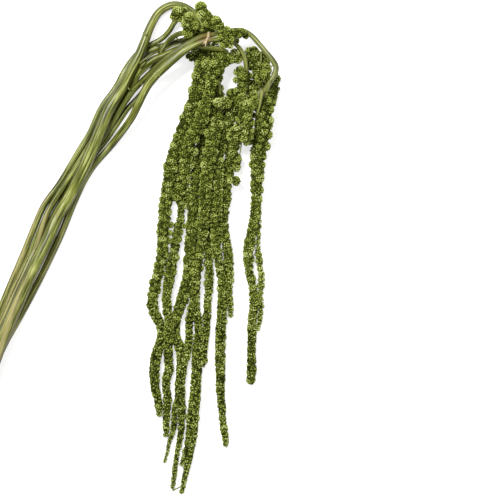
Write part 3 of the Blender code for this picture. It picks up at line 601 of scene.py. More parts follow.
# %% Geometry Nodes tree
def tree_of(shape_object, name):
    """A node tree that puts that object on each vertex."""
    tree = bpy.data.node_groups.new(name, "GeometryNodeTree")
    tree.interface.new_socket("Points", in_out="INPUT", socket_type="NodeSocketGeometry")
    tree.interface.new_socket("Shapes", in_out="OUTPUT", socket_type="NodeSocketGeometry")
    nodes, links = tree.nodes, tree.links
    source = nodes.new("NodeGroupInput")
    result = nodes.new("NodeGroupOutput")
    shape = nodes.new("GeometryNodeObjectInfo")
    shape.inputs["Object"].default_value = shape_object
    turn = nodes.new("GeometryNodeInputNamedAttribute")
    turn.data_type = "FLOAT_VECTOR"
    turn.inputs["Name"].default_value = "turn"
    rotation = nodes.new("FunctionNodeEulerToRotation")
    size = nodes.new("GeometryNodeInputNamedAttribute")
    size.data_type = "FLOAT"
    size.inputs["Name"].default_value = "size"
    spread = nodes.new("GeometryNodeInstanceOnPoints")
    real = nodes.new("GeometryNodeRealizeInstances")
    links.new(source.outputs["Points"], spread.inputs["Points"])
    links.new(shape.outputs["Geometry"], spread.inputs["Instance"])
    links.new(turn.outputs["Attribute"], rotation.inputs["Euler"])
    links.new(rotation.outputs["Rotation"], spread.inputs["Rotation"])
    links.new(size.outputs["Attribute"], spread.inputs["Scale"])
    links.new(spread.outputs["Instances"], real.inputs["Geometry"])
    links.new(real.outputs["Geometry"], result.inputs["Shapes"])
    return tree


floret_tree = tree_of(floret, "florets on points")
core_tree = tree_of(core, "cores on points")


# %% From a modifier to a mesh
def made_real(holder):
    """The object's shape as a plain mesh. The object is removed."""
    depsgraph = bpy.context.evaluated_depsgraph_get()
    mesh = bpy.data.meshes.new_from_object(holder.evaluated_get(depsgraph))
    bpy.data.objects.remove(holder)
    return mesh


def on_points(tree, places, values, turns):
    """A mesh of the tree's shape at every place, with the values as attributes of its vertices."""
    points = bpy.data.meshes.new("points")
    points.vertices.add(len(places))
    points.vertices.foreach_set("co", places.ravel())
    for key, column in values.items():
        layer = points.attributes.new(key, "FLOAT", "POINT")
        layer.data.foreach_set("value", column)
    layer = points.attributes.new("turn", "FLOAT_VECTOR", "POINT")
    layer.data.foreach_set("vector", turns.ravel())
    holder = as_object("points", points)
    planter = holder.modifiers.new("Planter", "NODES")
    planter.node_group = tree
    mesh = made_real(holder)
    bpy.data.meshes.remove(points)
    return mesh


# %% Florets on points
FLORET_TILT = 0.2  # how far a floret leans, over its length


def floret_mesh(rows):
    """A mesh of florets, one for each row of plant."""
    places, ways, (sizes, shades, faces) = rows[:, :3], rows[:, 3:6], rows[:, 6:].T
    turns = []
    for way in ways:
        tilted = Vector(way + draw.normal(scale=FLORET_TILT, size=3))
        turns.append(tilted.to_track_quat("Z", "Y").to_euler()[:])
    tints = draw.uniform(size=len(rows))
    # `face`, like the floret's own `tip`, carries painted shade; `tint` and `cluster` are random tone.
    values = {"size": sizes, "cluster": shades, "face": faces, "tint": tints}
    return on_points(floret_tree, places, values, np.array(turns))


# %% Join the parts of a piece
def joined(name, meshes, materials):
    """One mesh of several, each with its own material."""
    body = bmesh.new()
    for number, mesh in enumerate(meshes):
        before = len(body.faces)
        body.from_mesh(mesh)
        body.faces.ensure_lookup_table()
        for face in body.faces[before:]:
            face.material_index = number
        bpy.data.meshes.remove(mesh)
    whole = mesh_from(body, name)
    for material in materials:
        whole.materials.append(material)
    for key in ("size", "turn"):
        if key in whole.attributes:
            whole.attributes.remove(whole.attributes[key])
    return whole


# %% [markdown]
# ## The heart of a tassel
#
# Under the florets lies the thin axis that the clusters grow from. It could be a tube, but it shows only
# as the dark bottom of a crack, and the tassels' shape is wanted there, not the axis. So the merged skin,
# drawn in by up to two millimetres, closes the cracks with a near-black green, painted shade for the
# bottom of the cracks.

# %% Heart
HEART_DEPTH = 1.8 * MM
HEART_SHARE = 0.26  # of the thickness, which the depth never exceeds
LOWEST_SKIN = 0.3 * MM


def widths_under(body):
    """How thick the body is under each of its corners."""
    tree = BVHTree.FromBMesh(body)
    hits = [tree.ray_cast(vertex.co - vertex.normal * RAY_START, -vertex.normal) for vertex in body.verts]
    return [hit[3] or NO_FAR_SIDE for hit in hits]


def heart_mesh(skin):
    """A copy of the skin that lies under the florets."""
    inner = skin.copy()
    for vertex, across in zip(inner.verts, widths_under(inner)):
        vertex.co -= vertex.normal * min(HEART_DEPTH, HEART_SHARE * across)
        vertex.co.z = max(vertex.co.z, LOWEST_SKIN)
    return mesh_from(inner, "heart")


# %% [markdown]
# ## Clusters that stand out
#
# The largest clusters of the upper tassels are told apart at a glance, and small ones close the cracks
# between strands that lie side by side. Drawn at random, they would fall elsewhere than on the real
# bunch. So each is listed by its place on the sheet and its radius, and sits just proud of the solid
# under it. The rest of the skin is filled at random.

# %% The clusters that stand out
LOWEST_MIDDLE = 0.6  # of the radius, above the table
SEEN_CLUSTERS = [  # right and down on the sheet, and the radius, all in mm
    (201, 8, 6.3), (202, 15, 5.2), (216, 22, 5.8), (208, 24, 4.5), (219, 28, 5.5), (211, 30, 5.0),
    (178, 12, 6.2), (173, 17, 3.6), (181, 18, 4.8), (187, 24, 6.0), (194, 26, 5.5), (188, 33, 6.0),
    (195, 34, 5.6), (222, 37, 5.2), (216, 41, 4.5), (225, 44, 5.6), (230, 41, 4.5), (239, 35, 4.2),
    (242, 31, 2.8), (245, 36, 3.0), (203, 51, 5.6), (191, 55, 3.8), (200, 63, 5.8), (207, 65, 5.2),
    (197, 76, 6.0), (205, 76, 5.5), (215, 72, 5.6), (201, 89, 6.0), (193, 90, 5.5), (195, 98, 6.0),
    (202, 97, 5.0), (189, 108, 5.6), (197, 108, 6.0), (203, 105, 5.0), (183, 118, 4.6), (190, 121, 6.0),
    (197, 126, 5.2), (187, 134, 5.5), (177, 137, 4.6), (174, 146, 4.8), (186, 145, 5.5),
    (195, 139, 5.0), (218, 103, 5.2), (227, 104, 5.0), (232, 94, 6.0), (238, 92, 5.6), (242, 98, 5.5),
    (240, 108, 6.0), (247, 105, 4.5), (232, 102, 5.0), (218, 117, 5.5), (218, 126, 6.2),
    (225, 118, 4.8), (235, 117, 4.8), (247, 117, 5.2), (232, 128, 5.0), (209, 134, 5.0),
    (232, 137, 5.5), (211, 144, 6.0), (228, 146, 5.5), (244, 138, 5.2), (244, 76, 6.8), (240, 70, 4.5),
    (258, 71, 6.0), (264, 76, 5.0), (259, 79, 4.8), (252, 88, 5.4), (254, 95, 4.8), (249, 57, 5.8),
    (255, 53, 5.2), (258, 60, 5.2), (266, 62, 4.5), (235, 54, 5.4), (230, 60, 5.2), (238, 59, 5.0),
    (222, 57, 5.0), (216, 54, 4.8), (226, 63, 4.5), (275, 74, 3.4), (275, 84, 3.6), (272, 92, 4.8),
    (266, 102, 5.8), (272, 98, 4.5), (260, 102, 4.0), (262, 114, 5.0), (269, 110, 5.2), (264, 124, 5.2),
    (270, 121, 4.5), (261, 138, 5.5), (268, 135, 5.0), (266, 146, 5.0), (186, 154, 5.2),
    (194, 152, 4.8), (174, 154, 4.6), (172, 161, 5.4), (185, 161, 5.8), (211, 159, 5.6),
    (168, 174, 5.0), (184, 171, 5.4), (197, 171, 4.8), (236, 159, 6.0), (228, 164, 5.4),
    (236, 167, 5.0), (236, 181, 5.0), (207, 186, 5.4), (181, 186, 5.6), (168, 184, 5.0),
    (194, 188, 4.8), (227, 181, 5.0), (166, 196, 5.0), (178, 197, 5.0), (192, 198, 5.0),
    (206, 202, 5.2), (216, 203, 5.0), (225, 206, 5.0), (163, 206, 5.0), (181, 206, 4.0),
    (194, 209, 4.8), (214, 216, 4.8), (203, 210, 4.8), (224, 216, 4.5), (163, 218, 5.0),
    (192, 219, 5.0), (165, 226, 4.6), (159, 232, 3.2), (259, 178, 5.6), (256, 171, 5.4),
    (255, 157, 5.6), (262, 156, 5.0), (259, 190, 5.0), (258, 199, 4.8), (257, 208, 4.5),
    (256, 217, 4.4), (254, 226, 4.4), (252, 236, 4.2),
    (212, 50, 5.0), (211, 58, 5.0), (218, 63, 4.8), (213, 66, 4.6), (219, 50, 4.8), (210, 83, 4.6),
    (210, 92, 4.6), (209, 100, 4.6), (206, 112, 4.6), (205, 120, 4.6), (203, 130, 4.6), (214, 83, 4.4),
    (236, 41, 3.5), (246, 37, 2.8), (249, 51, 4.5), (254, 49.5, 4), (219.5, 78, 4), (220, 88, 4.2),
    (221, 95, 4), (237, 72, 4), (236, 80, 3.6), (250, 66, 4.2), (249.5, 76, 3.5), (250.5, 82, 3),
    (266, 82, 3.5), (263, 86, 4), (268, 78, 3), (223, 111, 4.4), (252, 108, 3), (253, 115, 3.2),
    (192.5, 158, 3.8), (191, 166, 3.8), (189.5, 174, 3.8), (188.3, 182, 3.8), (187.5, 190, 3.8),
    (187, 198, 3.8), (186.5, 206, 3.6), (198, 220, 3.4), (198, 228, 3.2), (197, 235, 3),
    (171, 225, 3.4), (170.5, 233, 3.2), (170, 241, 3), (184.5, 226, 3),
    (221, 160, 3.4), (221.3, 170, 3.4), (220.5, 180, 3.4), (220, 190, 3.4), (219.5, 200, 3.4),
    (219.3, 210, 3.4), (219.5, 220, 3.2), (220, 230, 3.2), (221, 240, 3.2), (200.5, 163, 3.2),
    (200, 172, 3.2), (199.8, 181, 3.2), (199.3, 190, 3.2), (198.5, 200, 3.2), (198, 210, 3.2),
    (251.5, 131, 3.2), (250.5, 137, 3.6), (249.8, 142, 3.4), (246, 143.5, 3), (248.5, 92, 3.2),
    (249, 97, 3), (195, 51, 4.2), (188, 56, 2.8), (190, 149, 3.6), (203, 148, 3.4), (222, 136, 3.4),
    (221, 148, 3.4),
    (221.2, 165, 3.3), (221, 175, 3.3), (220.2, 185, 3.3), (219.8, 195, 3.3), (219.4, 205, 3.3),
    (219.4, 215, 3.2), (219.7, 225, 3.2), (220.5, 235, 3.1), (200.2, 167.5, 3.2), (199.9, 176.5, 3.2),
    (199.5, 185.5, 3.2), (198.9, 195, 3.2), (198.2, 205, 3.2), (197.8, 215, 3.2), (197.6, 224, 3.1),
    (191.7, 162, 3.4), (187.2, 194, 3.4), (186.8, 202, 3.4), (202, 159, 3.3), (221.5, 154, 3.4),
    (197, 230, 3.2), (197, 236, 3.1), (197.4, 242, 3.1),
]

seen_clusters = []
for x, y, radius in SEEN_CLUSTERS:
    place, owner = from_above(x, y, HEADS)
    height = max(place.z + CLUSTER_STAND_OUT - radius * MM, LOWEST_MIDDLE * radius * MM)
    seen_clusters.append((owner, (place.x, place.y, height), radius * MM))
print("clusters that stand out:", len(seen_clusters))

# %% [markdown]
# ## The seven heads
#
# A head is one grown body and could be one mesh, but the large ones would grow too heavy to handle. They
# are cut in two pieces at a height on the picture, an upper and a lower one, and the upper piece keeps
# the heart. Before that, the skin is smoothed, which draws it in, and let out again by a little more,
# because the clusters stand out past the plain solid.

# %% Sizes for the heads
SMOOTHING = (2, 0.35)  # how often, and how much each time
GROWTH = 1.45 * MM
THIN_GROWTH = 0.26  # of the thickness, which the growth never exceeds
POINT_AREA = 0.9 * MM * MM  # one point for this much skin
PIECE_CUTS = {"head_3": -115 * MM, "head_4": -150 * MM, "head_5": -120 * MM}
PAST_ALL = 1.0  # higher than the whole bunch, in metres
CORE_SHARE = 0.98


def halves(head):
    """The names of a head's pieces, and where on y each one starts and ends."""
    name = head.replace("head", "tassel")
    cut = PIECE_CUTS.get(head)
    if cut is None:
        return [(name, -PAST_ALL, PAST_ALL)]
    return [(name + "_lower", -PAST_ALL, cut), (name + "_upper", cut, PAST_ALL)]


# %% Dress them one by one
floret_total = 0
for head in HEADS:
    skin = merged(head)
    for _ in range(SMOOTHING[0]):
        bmesh.ops.smooth_vert(
            skin, verts=skin.verts, factor=SMOOTHING[1], use_axis_x=True, use_axis_y=True, use_axis_z=True
        )
    skin.normal_update()
    for vertex, across in zip(skin.verts, widths_under(skin)):
        vertex.co += vertex.normal * min(GROWTH, THIN_GROWTH * across)
        vertex.co.z = max(vertex.co.z, LOWEST_SKIN)
    skin.normal_update()
    first = [cluster for owner, *cluster in seen_clusters if owner == head]
    points = skin_points(skin, POINT_AREA)
    middles, sizes = choose_clusters(skin, *points, first)
    rows = plant(skin, middles, sizes, *points)
    for label, low, high in halves(head):
        share = rows[(rows[:, 1] >= low) & (rows[:, 1] < high)]
        here = (middles[:, 1] >= low) & (middles[:, 1] < high)
        core_sizes = CORE_SHARE * (sizes[here] - FLORET_RISE)
        core_places = middles[here].copy()
        core_places[:, 2] = np.maximum(core_places[:, 2], core_sizes)
        turns = draw.uniform(0, math.pi, (len(core_sizes), 3))
        parts = [floret_mesh(share), on_points(core_tree, core_places, {"size": core_sizes}, turns)]
        if high == PAST_ALL:
            parts.append(heart_mesh(skin))
        piece = as_object(label, joined(label, parts, [floret_green, heart_shade_green, heart_shade_green]))
        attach(piece, "root")
        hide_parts(head)
        triangles = sum(len(face.vertices) - 2 for face in piece.data.polygons)
        print(f"{label}: {len(share)} florets, {triangles} triangles")
    print(f"{head}: {len(middles)} clusters")
    floret_total += len(rows)
    skin.free()
bpy.data.objects.remove(floret)
bpy.data.objects.remove(core)
print("florets in all:", floret_total)

# %% [markdown]
# ## Stems
#
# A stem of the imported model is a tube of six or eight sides. A Subdivision Surface modifier could round
# it, but it would thin the tube and close up its cut end. So a walk over it ring by ring, from its cut
# end, gives back the middle and the radius of each ring. A smooth line through those middles then carries
# a finer tube with shallow ribs, as amaranth stems have.

# %% Read a stem's middle line
SHARP = 1.3  # the angle, in radians, that only the rim of an end has


def ring_walk(name):
    """The middles and radii of a stem's rings, in metres, from its cut end to its head."""
    body = merged(name)
    rim = [edge for edge in body.edges if edge.calc_face_angle() > SHARP]
    ring = {max((vertex for edge in rim for vertex in edge.verts), key=lambda vertex: vertex.co.length)}
    while True:
        more = {vertex for edge in rim if ring & set(edge.verts) for vertex in edge.verts} - ring
        if not more:
            break
        ring |= more
    sides, seen, middles, radii = len(ring), set(), [], []
    while ring:
        if len(ring) == sides:
            places = np.array([vertex.co[:] for vertex in ring])
            middles.append(places.mean(0))
            radii.append(np.linalg.norm(places - middles[-1], axis=1).mean())
        seen |= ring
        ring = {edge.other_vert(vertex) for vertex in ring for edge in vertex.link_edges} - seen
    body.free()
    return np.array(middles), np.array(radii)


def way_along(line):
    """How far along the line each of its points is."""
    return np.concatenate([[0], np.cumsum(np.linalg.norm(np.diff(line, axis=0), axis=1))])


# %% A smooth line through the rings
def smooth_line(middles, radii, step):
    """Points and radii at even steps on a smooth line through the rings."""
    along = way_along(middles)
    slopes = np.gradient(middles, along, axis=0)
    fine = np.linspace(0, along[-1], int(along[-1] / step) + 1)
    piece = np.clip(np.searchsorted(along, fine, side="right") - 1, 0, len(along) - 2)
    span = (along[piece + 1] - along[piece])[:, None]
    t = (fine[:, None] - along[piece][:, None]) / span
    line = (
        (2 * t**3 - 3 * t**2 + 1) * middles[piece]
        + (t**3 - 2 * t**2 + t) * span * slopes[piece]
        + (3 * t**2 - 2 * t**3) * middles[piece + 1]
        + (t**3 - t**2) * span * slopes[piece + 1]
    )
    return line, np.interp(fine, along, radii)


# %% [markdown]
# ## The material of the stems
#
# A fresh stem is yellow-green and a little waxy, with fine streaks that run along it. A noise on the
# object's own coordinates would give spots. So the streaks follow the stem by an attribute, `grain`, that
# each vertex carries: the place round the stem, and a small part of the length along it, so that a noise
# on it comes out long and thin.
#
# Stems dry from their cut ends. The attribute `age` lets in straw-coloured streaks there. On the two tied
# stems, `blush` adds the brown skin round the tie. Towards its outline, where a stem turns away from the
# camera, its colour is darkened: painted shade.

# %% Stem skin and pith
STREAK_SHARE = 0.74
STRAW = (0.50, 0.43, 0.18, 1)
PAINTED_SHADE_GREEN = (0.030, 0.036, 0.004, 1)
PAINTED_SHADE_AMOUNT = 0.95
BLUSH_BROWN = (0.19, 0.105, 0.036, 1)

stem_green, stem_shader = shader_material("stem_green")
grain = attribute(stem_green, "grain", "Vector")
streaks = noise(stem_green, grain, scale=4.6, detail=5.0)
patches = noise(stem_green, place_on_object(stem_green), scale=22.0, detail=2.0)
streak_part = arithmetic(stem_green, "MULTIPLY", streaks, STREAK_SHARE)
patch_part = arithmetic(stem_green, "MULTIPLY", patches, 1 - STREAK_SHARE)
lightness = arithmetic(stem_green, "ADD", streak_part, patch_part)
stem_colour = ramp(stem_green, lightness, [
    (0.38, (0.030, 0.034, 0.002)),
    (0.46, (0.100, 0.115, 0.008)),
    (0.54, (0.210, 0.235, 0.028)),
    (0.64, (0.520, 0.540, 0.190)),
])
dry_streaks = noise(stem_green, grain, scale=1.3, detail=2.0)
dryness = arithmetic(stem_green, "MULTIPLY", dry_streaks, attribute(stem_green, "age"))
dry_part = ramp(stem_green, dryness, [(0.50, (0, 0, 0)), (0.58, (0.65, 0.65, 0.65))])
stem_colour = mixed(stem_green, dry_part, stem_colour, STRAW)
# Painted shade: the colour darkens towards each stem's outline, where the surface turns from the camera.
turned_away = node(stem_green, "ShaderNodeLayerWeight")
turned_away.inputs["Blend"].default_value = 0.42
painted_edge_darkening = arithmetic(stem_green, "MULTIPLY", turned_away.outputs["Facing"], PAINTED_SHADE_AMOUNT, clamp=True)
stem_colour = mixed(stem_green, painted_edge_darkening, stem_colour, PAINTED_SHADE_GREEN)
stem_colour = mixed(stem_green, attribute(stem_green, "blush"), stem_colour, BLUSH_BROWN)
wire(stem_green, stem_colour, stem_shader.inputs["Base Color"])
stem_shader.inputs["Roughness"].default_value = 0.38
stem_shader.inputs["Specular IOR Level"].default_value = 0.45
stem_bump = node(stem_green, "ShaderNodeBump")
stem_bump.inputs["Strength"].default_value = 0.35
stem_bump.inputs["Distance"].default_value = 0.4 * MM
wire(stem_green, streaks, stem_bump.inputs["Height"])
wire(stem_green, stem_bump.outputs["Normal"], stem_shader.inputs["Normal"])

pith_pale, _ = mottled("stem_pith", 900.0, (0.42, 0.42, 0.20), (0.72, 0.70, 0.46), roughness=0.9)

# %% Build the stems
STEM_STEP = 2.5 * MM
STEM_SIDES = 16
RIBS = 5
RIB_HEIGHT = 0.06  # of the radius
INTO_HEAD = 7 * MM
INTO_HEAD_WIDTHS = np.array([0.9, 0.8, 0.5])
PAST_TIE = 0.82  # the share of their width that the stems keep past the tie
THINNING = (2 * MM, 22 * MM)  # the stretch on x where they lose the rest
STEM_GROWTH = 0.6 * MM  # on the radius: it closes cracks that the flat sides of the plain stems cover
LOWEST_MIDDLE_LINE = 0.5 * MM
GRAIN_LENGTH = 110 * MM
BLUSH = 0.7
BLUSH_REACH = 10 * MM
BLUSH_FADE = 0.6
OLD = (130 * MM, 240 * MM)  # from the tie: where the stems begin to dry, and where they are oldest
CUT_RIM = 0.12  # of the width: the skin round the pith of a cut end
CUT_HOLLOW = 0.05


def round_tube(name, line, radii, sides):
    """A mesh tube along the line, closed at its ends. A bevel resolution of r gives 2 r + 4 sides."""
    curve = bpy.data.curves.new(name, "CURVE")
    curve.dimensions = "3D"
    curve.bevel_depth = 1.0
    curve.bevel_resolution = sides // 2 - 2
    curve.use_fill_caps = True
    spline = curve.splines.new("POLY")
    spline.points.add(len(line) - 1)
    for point, place, radius in zip(spline.points, line, radii):
        point.co = (*place, 1)
        point.radius = radius
    holder = as_object(name, curve)
    mesh = made_real(holder)
    bpy.data.curves.remove(curve)
    return mesh


# %% Ribs, and what the material reads
def stem_body(line, radii, sides, rib_height, blush, offset):
    """A bmesh of a ribbed stem along the line, with the attributes that its material reads."""
    body = bmesh.new()
    body.from_mesh(round_tube("tube", line, radii, sides))
    bmesh.ops.remove_doubles(body, verts=body.verts, dist=WELD)
    grain_layer = body.verts.layers.float_vector.new("grain")
    blush_layer = body.verts.layers.float.new("blush")
    age_layer = body.verts.layers.float.new("age")
    along = way_along(line)
    ahead = np.gradient(line, axis=0)
    phase = draw.uniform(0, 2 * math.pi)
    for vertex in body.verts:
        ring = int(np.argmin(((line - np.array(vertex.co)) ** 2).sum(1)))
        forward = Vector(ahead[ring]).normalized()
        side = forward.cross(Vector((0, 0, 1))).normalized()
        up = side.cross(forward)
        out = vertex.co - Vector(line[ring])
        angle = math.atan2(out.dot(up), out.dot(side))
        vertex.co += out * rib_height * math.cos(RIBS * angle + phase)
        vertex.co.z = max(vertex.co.z, 0.0)
        vertex[grain_layer] = (math.cos(angle), math.sin(angle), along[ring] / GRAIN_LENGTH + offset)
        vertex[age_layer] = np.interp(vertex.co.xy.length, OLD, (0.0, 1.0))
        vertex[blush_layer] = blush * max(0.0, 1.0 - vertex.co.xy.length / BLUSH_REACH) ** BLUSH_FADE
    for face in body.faces:
        face.smooth = len(face.verts) == 4
    return body


def stem_piece(name, body):
    piece = as_object(name, mesh_from(body, name))
    piece.data.materials.append(stem_green)
    piece.data.materials.append(pith_pale)
    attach(piece, "root")
    return piece


# %% The seven stems
TIED = {5, 7}
stem_lines = {}
for number, stem in enumerate(STEMS, 1):
    middles, radii = ring_walk(stem)
    line, widths = smooth_line(middles, radii, STEM_STEP)
    stem_lines[number] = (line, widths)
    onward = (line[-1] - line[-3]) / np.linalg.norm(line[-1] - line[-3])
    inside = line[-1] + np.outer(np.arange(1, 4) * INTO_HEAD / 3, onward)
    line = np.vstack([line, inside])
    widths = np.concatenate([widths, widths[-1] * INTO_HEAD_WIDTHS]) + STEM_GROWTH
    widths *= np.interp(line[:, 0], THINNING, (1.0, PAST_TIE))
    line[:, 2] = np.maximum(line[:, 2], LOWEST_MIDDLE_LINE)
    body = stem_body(line, widths, STEM_SIDES, RIB_HEIGHT, BLUSH if number in TIED else 0.0, number)
    start = Vector(line[0])
    ends = [face for face in body.faces if len(face.verts) > 4]
    cuts = [face for face in ends if (face.calc_center_median() - start).length < 1 * MM]
    bmesh.ops.inset_region(body, faces=cuts, thickness=CUT_RIM * widths[0], depth=-CUT_HOLLOW * widths[0])
    for face in cuts:
        face.material_index = 1
    bmesh.ops.recalc_face_normals(body, faces=body.faces)
    piece = stem_piece(f"stalk_{number}", body)
    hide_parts(stem)
    print(f"{stem}: {way_along(line)[-1] / MM:.0f} mm long, {len(piece.data.polygons)} faces")

# %% [markdown]
# ## Twigs
#
# Here and there a thin side stalk or the stub of a leaf shows on the stems and between the clusters. They
# could be left out, but they are what tells a grown stem from a pipe. Each is a short tapering tube that
# follows the places where it is seen from above, and lies on whatever is under it.

# %% Twigs
TWIG_SIDES = 8
TWIG_STEP = 2 * MM
TWIG_LIFT = 0.6 * MM
FIRST_TWIG_GRAIN = 20  # past the stems' own numbers, so that no twig has a stem's streaks
TWIGS = [  # places on the sheet, then the radii of the first and last one
    ([(262.4, 91), (261, 99), (259.5, 107), (256.5, 116)], 2.0, 1.1),
    ([(270.6, 81), (269, 87), (266.5, 94)], 1.0, 0.7),
    ([(260.9, 52), (261.2, 58), (260.6, 65.5)], 0.8, 0.6),
    ([(273.6, 66), (269.5, 67.8), (265.0, 67.4)], 0.7, 0.5),
    ([(256.5, 80.4), (255.8, 83), (254.6, 86)], 0.6, 0.5),
    ([(259.5, 89.6), (259.0, 95), (257.8, 101)], 0.8, 0.5),
    ([(253.5, 109.6), (252.8, 113), (251.6, 117)], 0.7, 0.5),
    ([(255.6, 127.6), (253.2, 130.8), (250.4, 134.2)], 0.6, 0.5),
    ([(236.6, 121), (239.6, 124.4), (242.2, 129)], 0.7, 0.5),
    ([(228.6, 109.8), (227.4, 112), (226.0, 114.6)], 0.6, 0.5),
    ([(218.0, 79), (219.4, 86), (220.4, 95)], 1.6, 1.3),
    ([(241.5, 142), (240.8, 148), (239.6, 155)], 0.7, 0.6),
    ([(197.4, 235), (200.6, 242), (204.2, 250)], 0.7, 0.5),
    ([(172.4, 491.0), (177.5, 488.6), (182.4, 486.0)], 0.8, 0.7),
    ([(164.5, 50.0), (173.0, 46.0), (182.0, 43.4)], 1.0, 0.8),
    ([(139.5, 64.0), (149.0, 56.5), (159.0, 51.2)], 1.4, 1.1),
    ([(138.0, 77.6), (146.0, 70.0), (152.6, 64.6)], 1.1, 0.9),
    ([(147.0, 35.5), (145.2, 34.0), (143.4, 32.2)], 1.3, 0.6),
    ([(157.0, 73.0), (158.8, 75.0), (160.6, 77.4)], 1.5, 1.1),
    ([(179.0, 41.2), (177.9, 39.6), (176.8, 37.8)], 0.9, 0.7),
    ([(142.4, 82.4), (141.6, 84.4), (140.9, 86.4)], 1.0, 0.7),
    ([(127.8, 87.4), (129.4, 89.2), (131.2, 90.8)], 1.1, 0.8),
    ([(158.6, 41.0), (157.8, 43.8), (157.0, 46.6)], 0.9, 0.7),
    ([(145.6, 62.0), (143.2, 64.6), (140.4, 67.6)], 1.8, 1.7),
]
# %% Lay the twigs
twig_bodies = []
for number, (places, first_radius, last_radius) in enumerate(TWIGS):
    line = np.array([from_above(x, y, HEADS + STEMS)[0] for x, y in places])
    levels = line[:, 2].copy()
    for step in range(len(line)):
        line[step, 2] = levels[max(step - 1, 0):step + 2].max()
    spread = np.linspace(first_radius, last_radius, len(line)) * MM
    line[:, 2] += TWIG_LIFT + spread
    fine, widths = smooth_line(line, spread, TWIG_STEP)
    twig_bodies.append(stem_body(fine, widths, TWIG_SIDES, 0.0, 0.0, FIRST_TWIG_GRAIN + number))
twigs = bmesh.new()
for body in twig_bodies:
    part = mesh_from(body, "twig")
    twigs.from_mesh(part)
    bpy.data.meshes.remove(part)
bmesh.ops.recalc_face_normals(twigs, faces=twigs.faces)
stem_piece("twigs", twigs)
print("twigs:", len(TWIGS))

# %% [markdown]
# ## The tie
#
# The tie is a wisp of raffia, a dry, flat, beige leaf fibre that splits into threads. One flat band could
# stand for it, but would look like ribbon. So each thread is a thin tube, and a few of them lie side by
# side, which looks split lengthwise. The wisp goes round two of the stems, drawn close. From the knot on
# top, one end points up and one points down on the sheet.

# %% Raffia
raffia_beige, _ = mottled("raffia_beige", 500.0, (0.40, 0.27, 0.13), (0.80, 0.67, 0.42), roughness=0.8)

# %% Where the tie goes round
THREAD = 0.32 * MM  # its radius
THREAD_SIDES = 6
THREADS_ROUND = 5
THREADS_APART = 0.45 * MM
THREAD_LIFTS = (0.45 * MM, 0.63 * MM)  # off the stems, by turns
WANDER = 0.25 * MM
LEAN = 0.5 * MM
SLANT = 4.2 * MM  # the wisp goes round the stems at a slant
ROUND_STEPS = 28
KNOT_LIFT = 1.0 * MM
KNOT_RADIUS = 1.05 * MM
KNOT_SHAPE = (1.0, 1.35, 0.7)


def nearest_to_tie(line, radii):
    """The number, the middle and the radius of the ring next to the world's origin, where the tie is."""
    ring = int(np.argmin(np.hypot(line[:, 0], line[:, 1])))
    return ring, Vector(line[ring]), float(radii[ring])


tied_places = [nearest_to_tie(*stem_lines[number]) for number in sorted(TIED)]
ring_number = tied_places[0][0]
line_of_first = stem_lines[min(TIED)][0]
forward = Vector(line_of_first[ring_number + 2] - line_of_first[ring_number - 2]).normalized()
side = forward.cross(Vector((0, 0, 1))).normalized()
up = side.cross(forward).normalized()
centre = sum((place for _, place, _ in tied_places), Vector()) / len(tied_places)


def round_stems(angle, lift, shift):
    """A place round both stems: at that angle, that far off them and shifted that far along them."""
    outward = math.cos(angle) * side + math.sin(angle) * up
    best = None
    for _, place, radius in tied_places:
        flat = (place - centre) - forward * (place - centre).dot(forward)
        reach = flat.dot(outward) + radius
        if best is None or reach > best[0]:
            best = (reach, flat, radius)
    return centre + best[1] + outward * (best[2] + lift) + forward * shift


# %% Threads round the stems
thread_bodies = bmesh.new()


def add_thread(line, radii):
    part = round_tube("thread", np.array([point[:] for point in line]), radii, THREAD_SIDES)
    thread_bodies.from_mesh(part)
    bpy.data.meshes.remove(part)


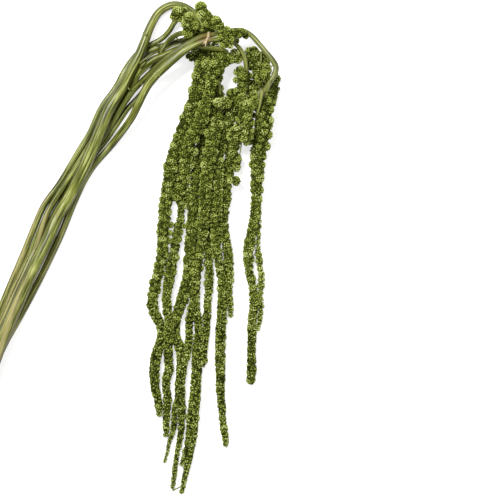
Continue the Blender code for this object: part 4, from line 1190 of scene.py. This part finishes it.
for number in range(THREADS_ROUND):
    shift = (number - (THREADS_ROUND - 1) / 2) * THREADS_APART
    wave = draw.uniform(0, 2 * math.pi)
    lean = draw.uniform(-LEAN, LEAN)
    line = []
    for step in range(ROUND_STEPS + 2):
        angle = 2 * math.pi * step / ROUND_STEPS
        wander = WANDER * math.sin(2 * angle + wave)
        slant = lean * math.sin(angle) - SLANT * math.cos(angle)
        line.append(round_stems(angle, THREAD_LIFTS[number % 2], shift + wander + slant))
    add_thread(line, [THREAD] * len(line))

# %% Knot and free ends
around = [round_stems(angle, KNOT_LIFT, 0.0) for angle in np.linspace(0, 2 * math.pi, 60, endpoint=False)]
top = max(around, key=lambda place: place.z)
ENDS = [  # how far right and up a free end goes from the knot and how high it rises, in mm, and its threads
    (2.6, 7.8, 1.6, 5),
    (-1.2, -5.6, 0.4, 4),
]
END_STEPS = 6
END_START = 0.35  # above the knot's middle, in mm
END_ARCH = 2.2  # radians of the arch that an end makes
END_NARROWS = 0.8
END_WIDTHS = (1.15, 0.40)  # of a thread's radius, from the knot to the tip
END_VARIES = (0.97, 1.03)
for right, up_sheet, rise, count in ENDS:
    for number in range(count):
        spread = (number - (count - 1) / 2) * THREADS_APART
        line, radii = [], []
        for step in range(END_STEPS + 1):
            share = step / END_STEPS
            across = forward * spread * (1.0 - END_NARROWS * share)
            run = Vector((right, up_sheet, 0)) * share * draw.uniform(*END_VARIES)
            run.z = END_START + rise * math.sin(END_ARCH * share)
            line.append(top + across + run * MM)
            radii.append(THREAD * np.interp(share, (0, 1), END_WIDTHS))
        add_thread(line, radii)
knot = bmesh.ops.create_icosphere(thread_bodies, subdivisions=2, radius=KNOT_RADIUS)["verts"]
bmesh.ops.scale(thread_bodies, verts=knot, vec=KNOT_SHAPE)
bmesh.ops.translate(thread_bodies, verts=knot, vec=top)
bmesh.ops.remove_doubles(thread_bodies, verts=thread_bodies.verts, dist=WELD)
bmesh.ops.recalc_face_normals(thread_bodies, faces=thread_bodies.faces)
for face in thread_bodies.faces:
    face.smooth = len(face.verts) <= 4
tie_piece = as_object("raffia", mesh_from(thread_bodies, "raffia"))
tie_piece.data.materials.append(raffia_beige)
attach(tie_piece, "root")
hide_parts("tie")
print("raffia:", len(tie_piece.data.polygons), "faces")
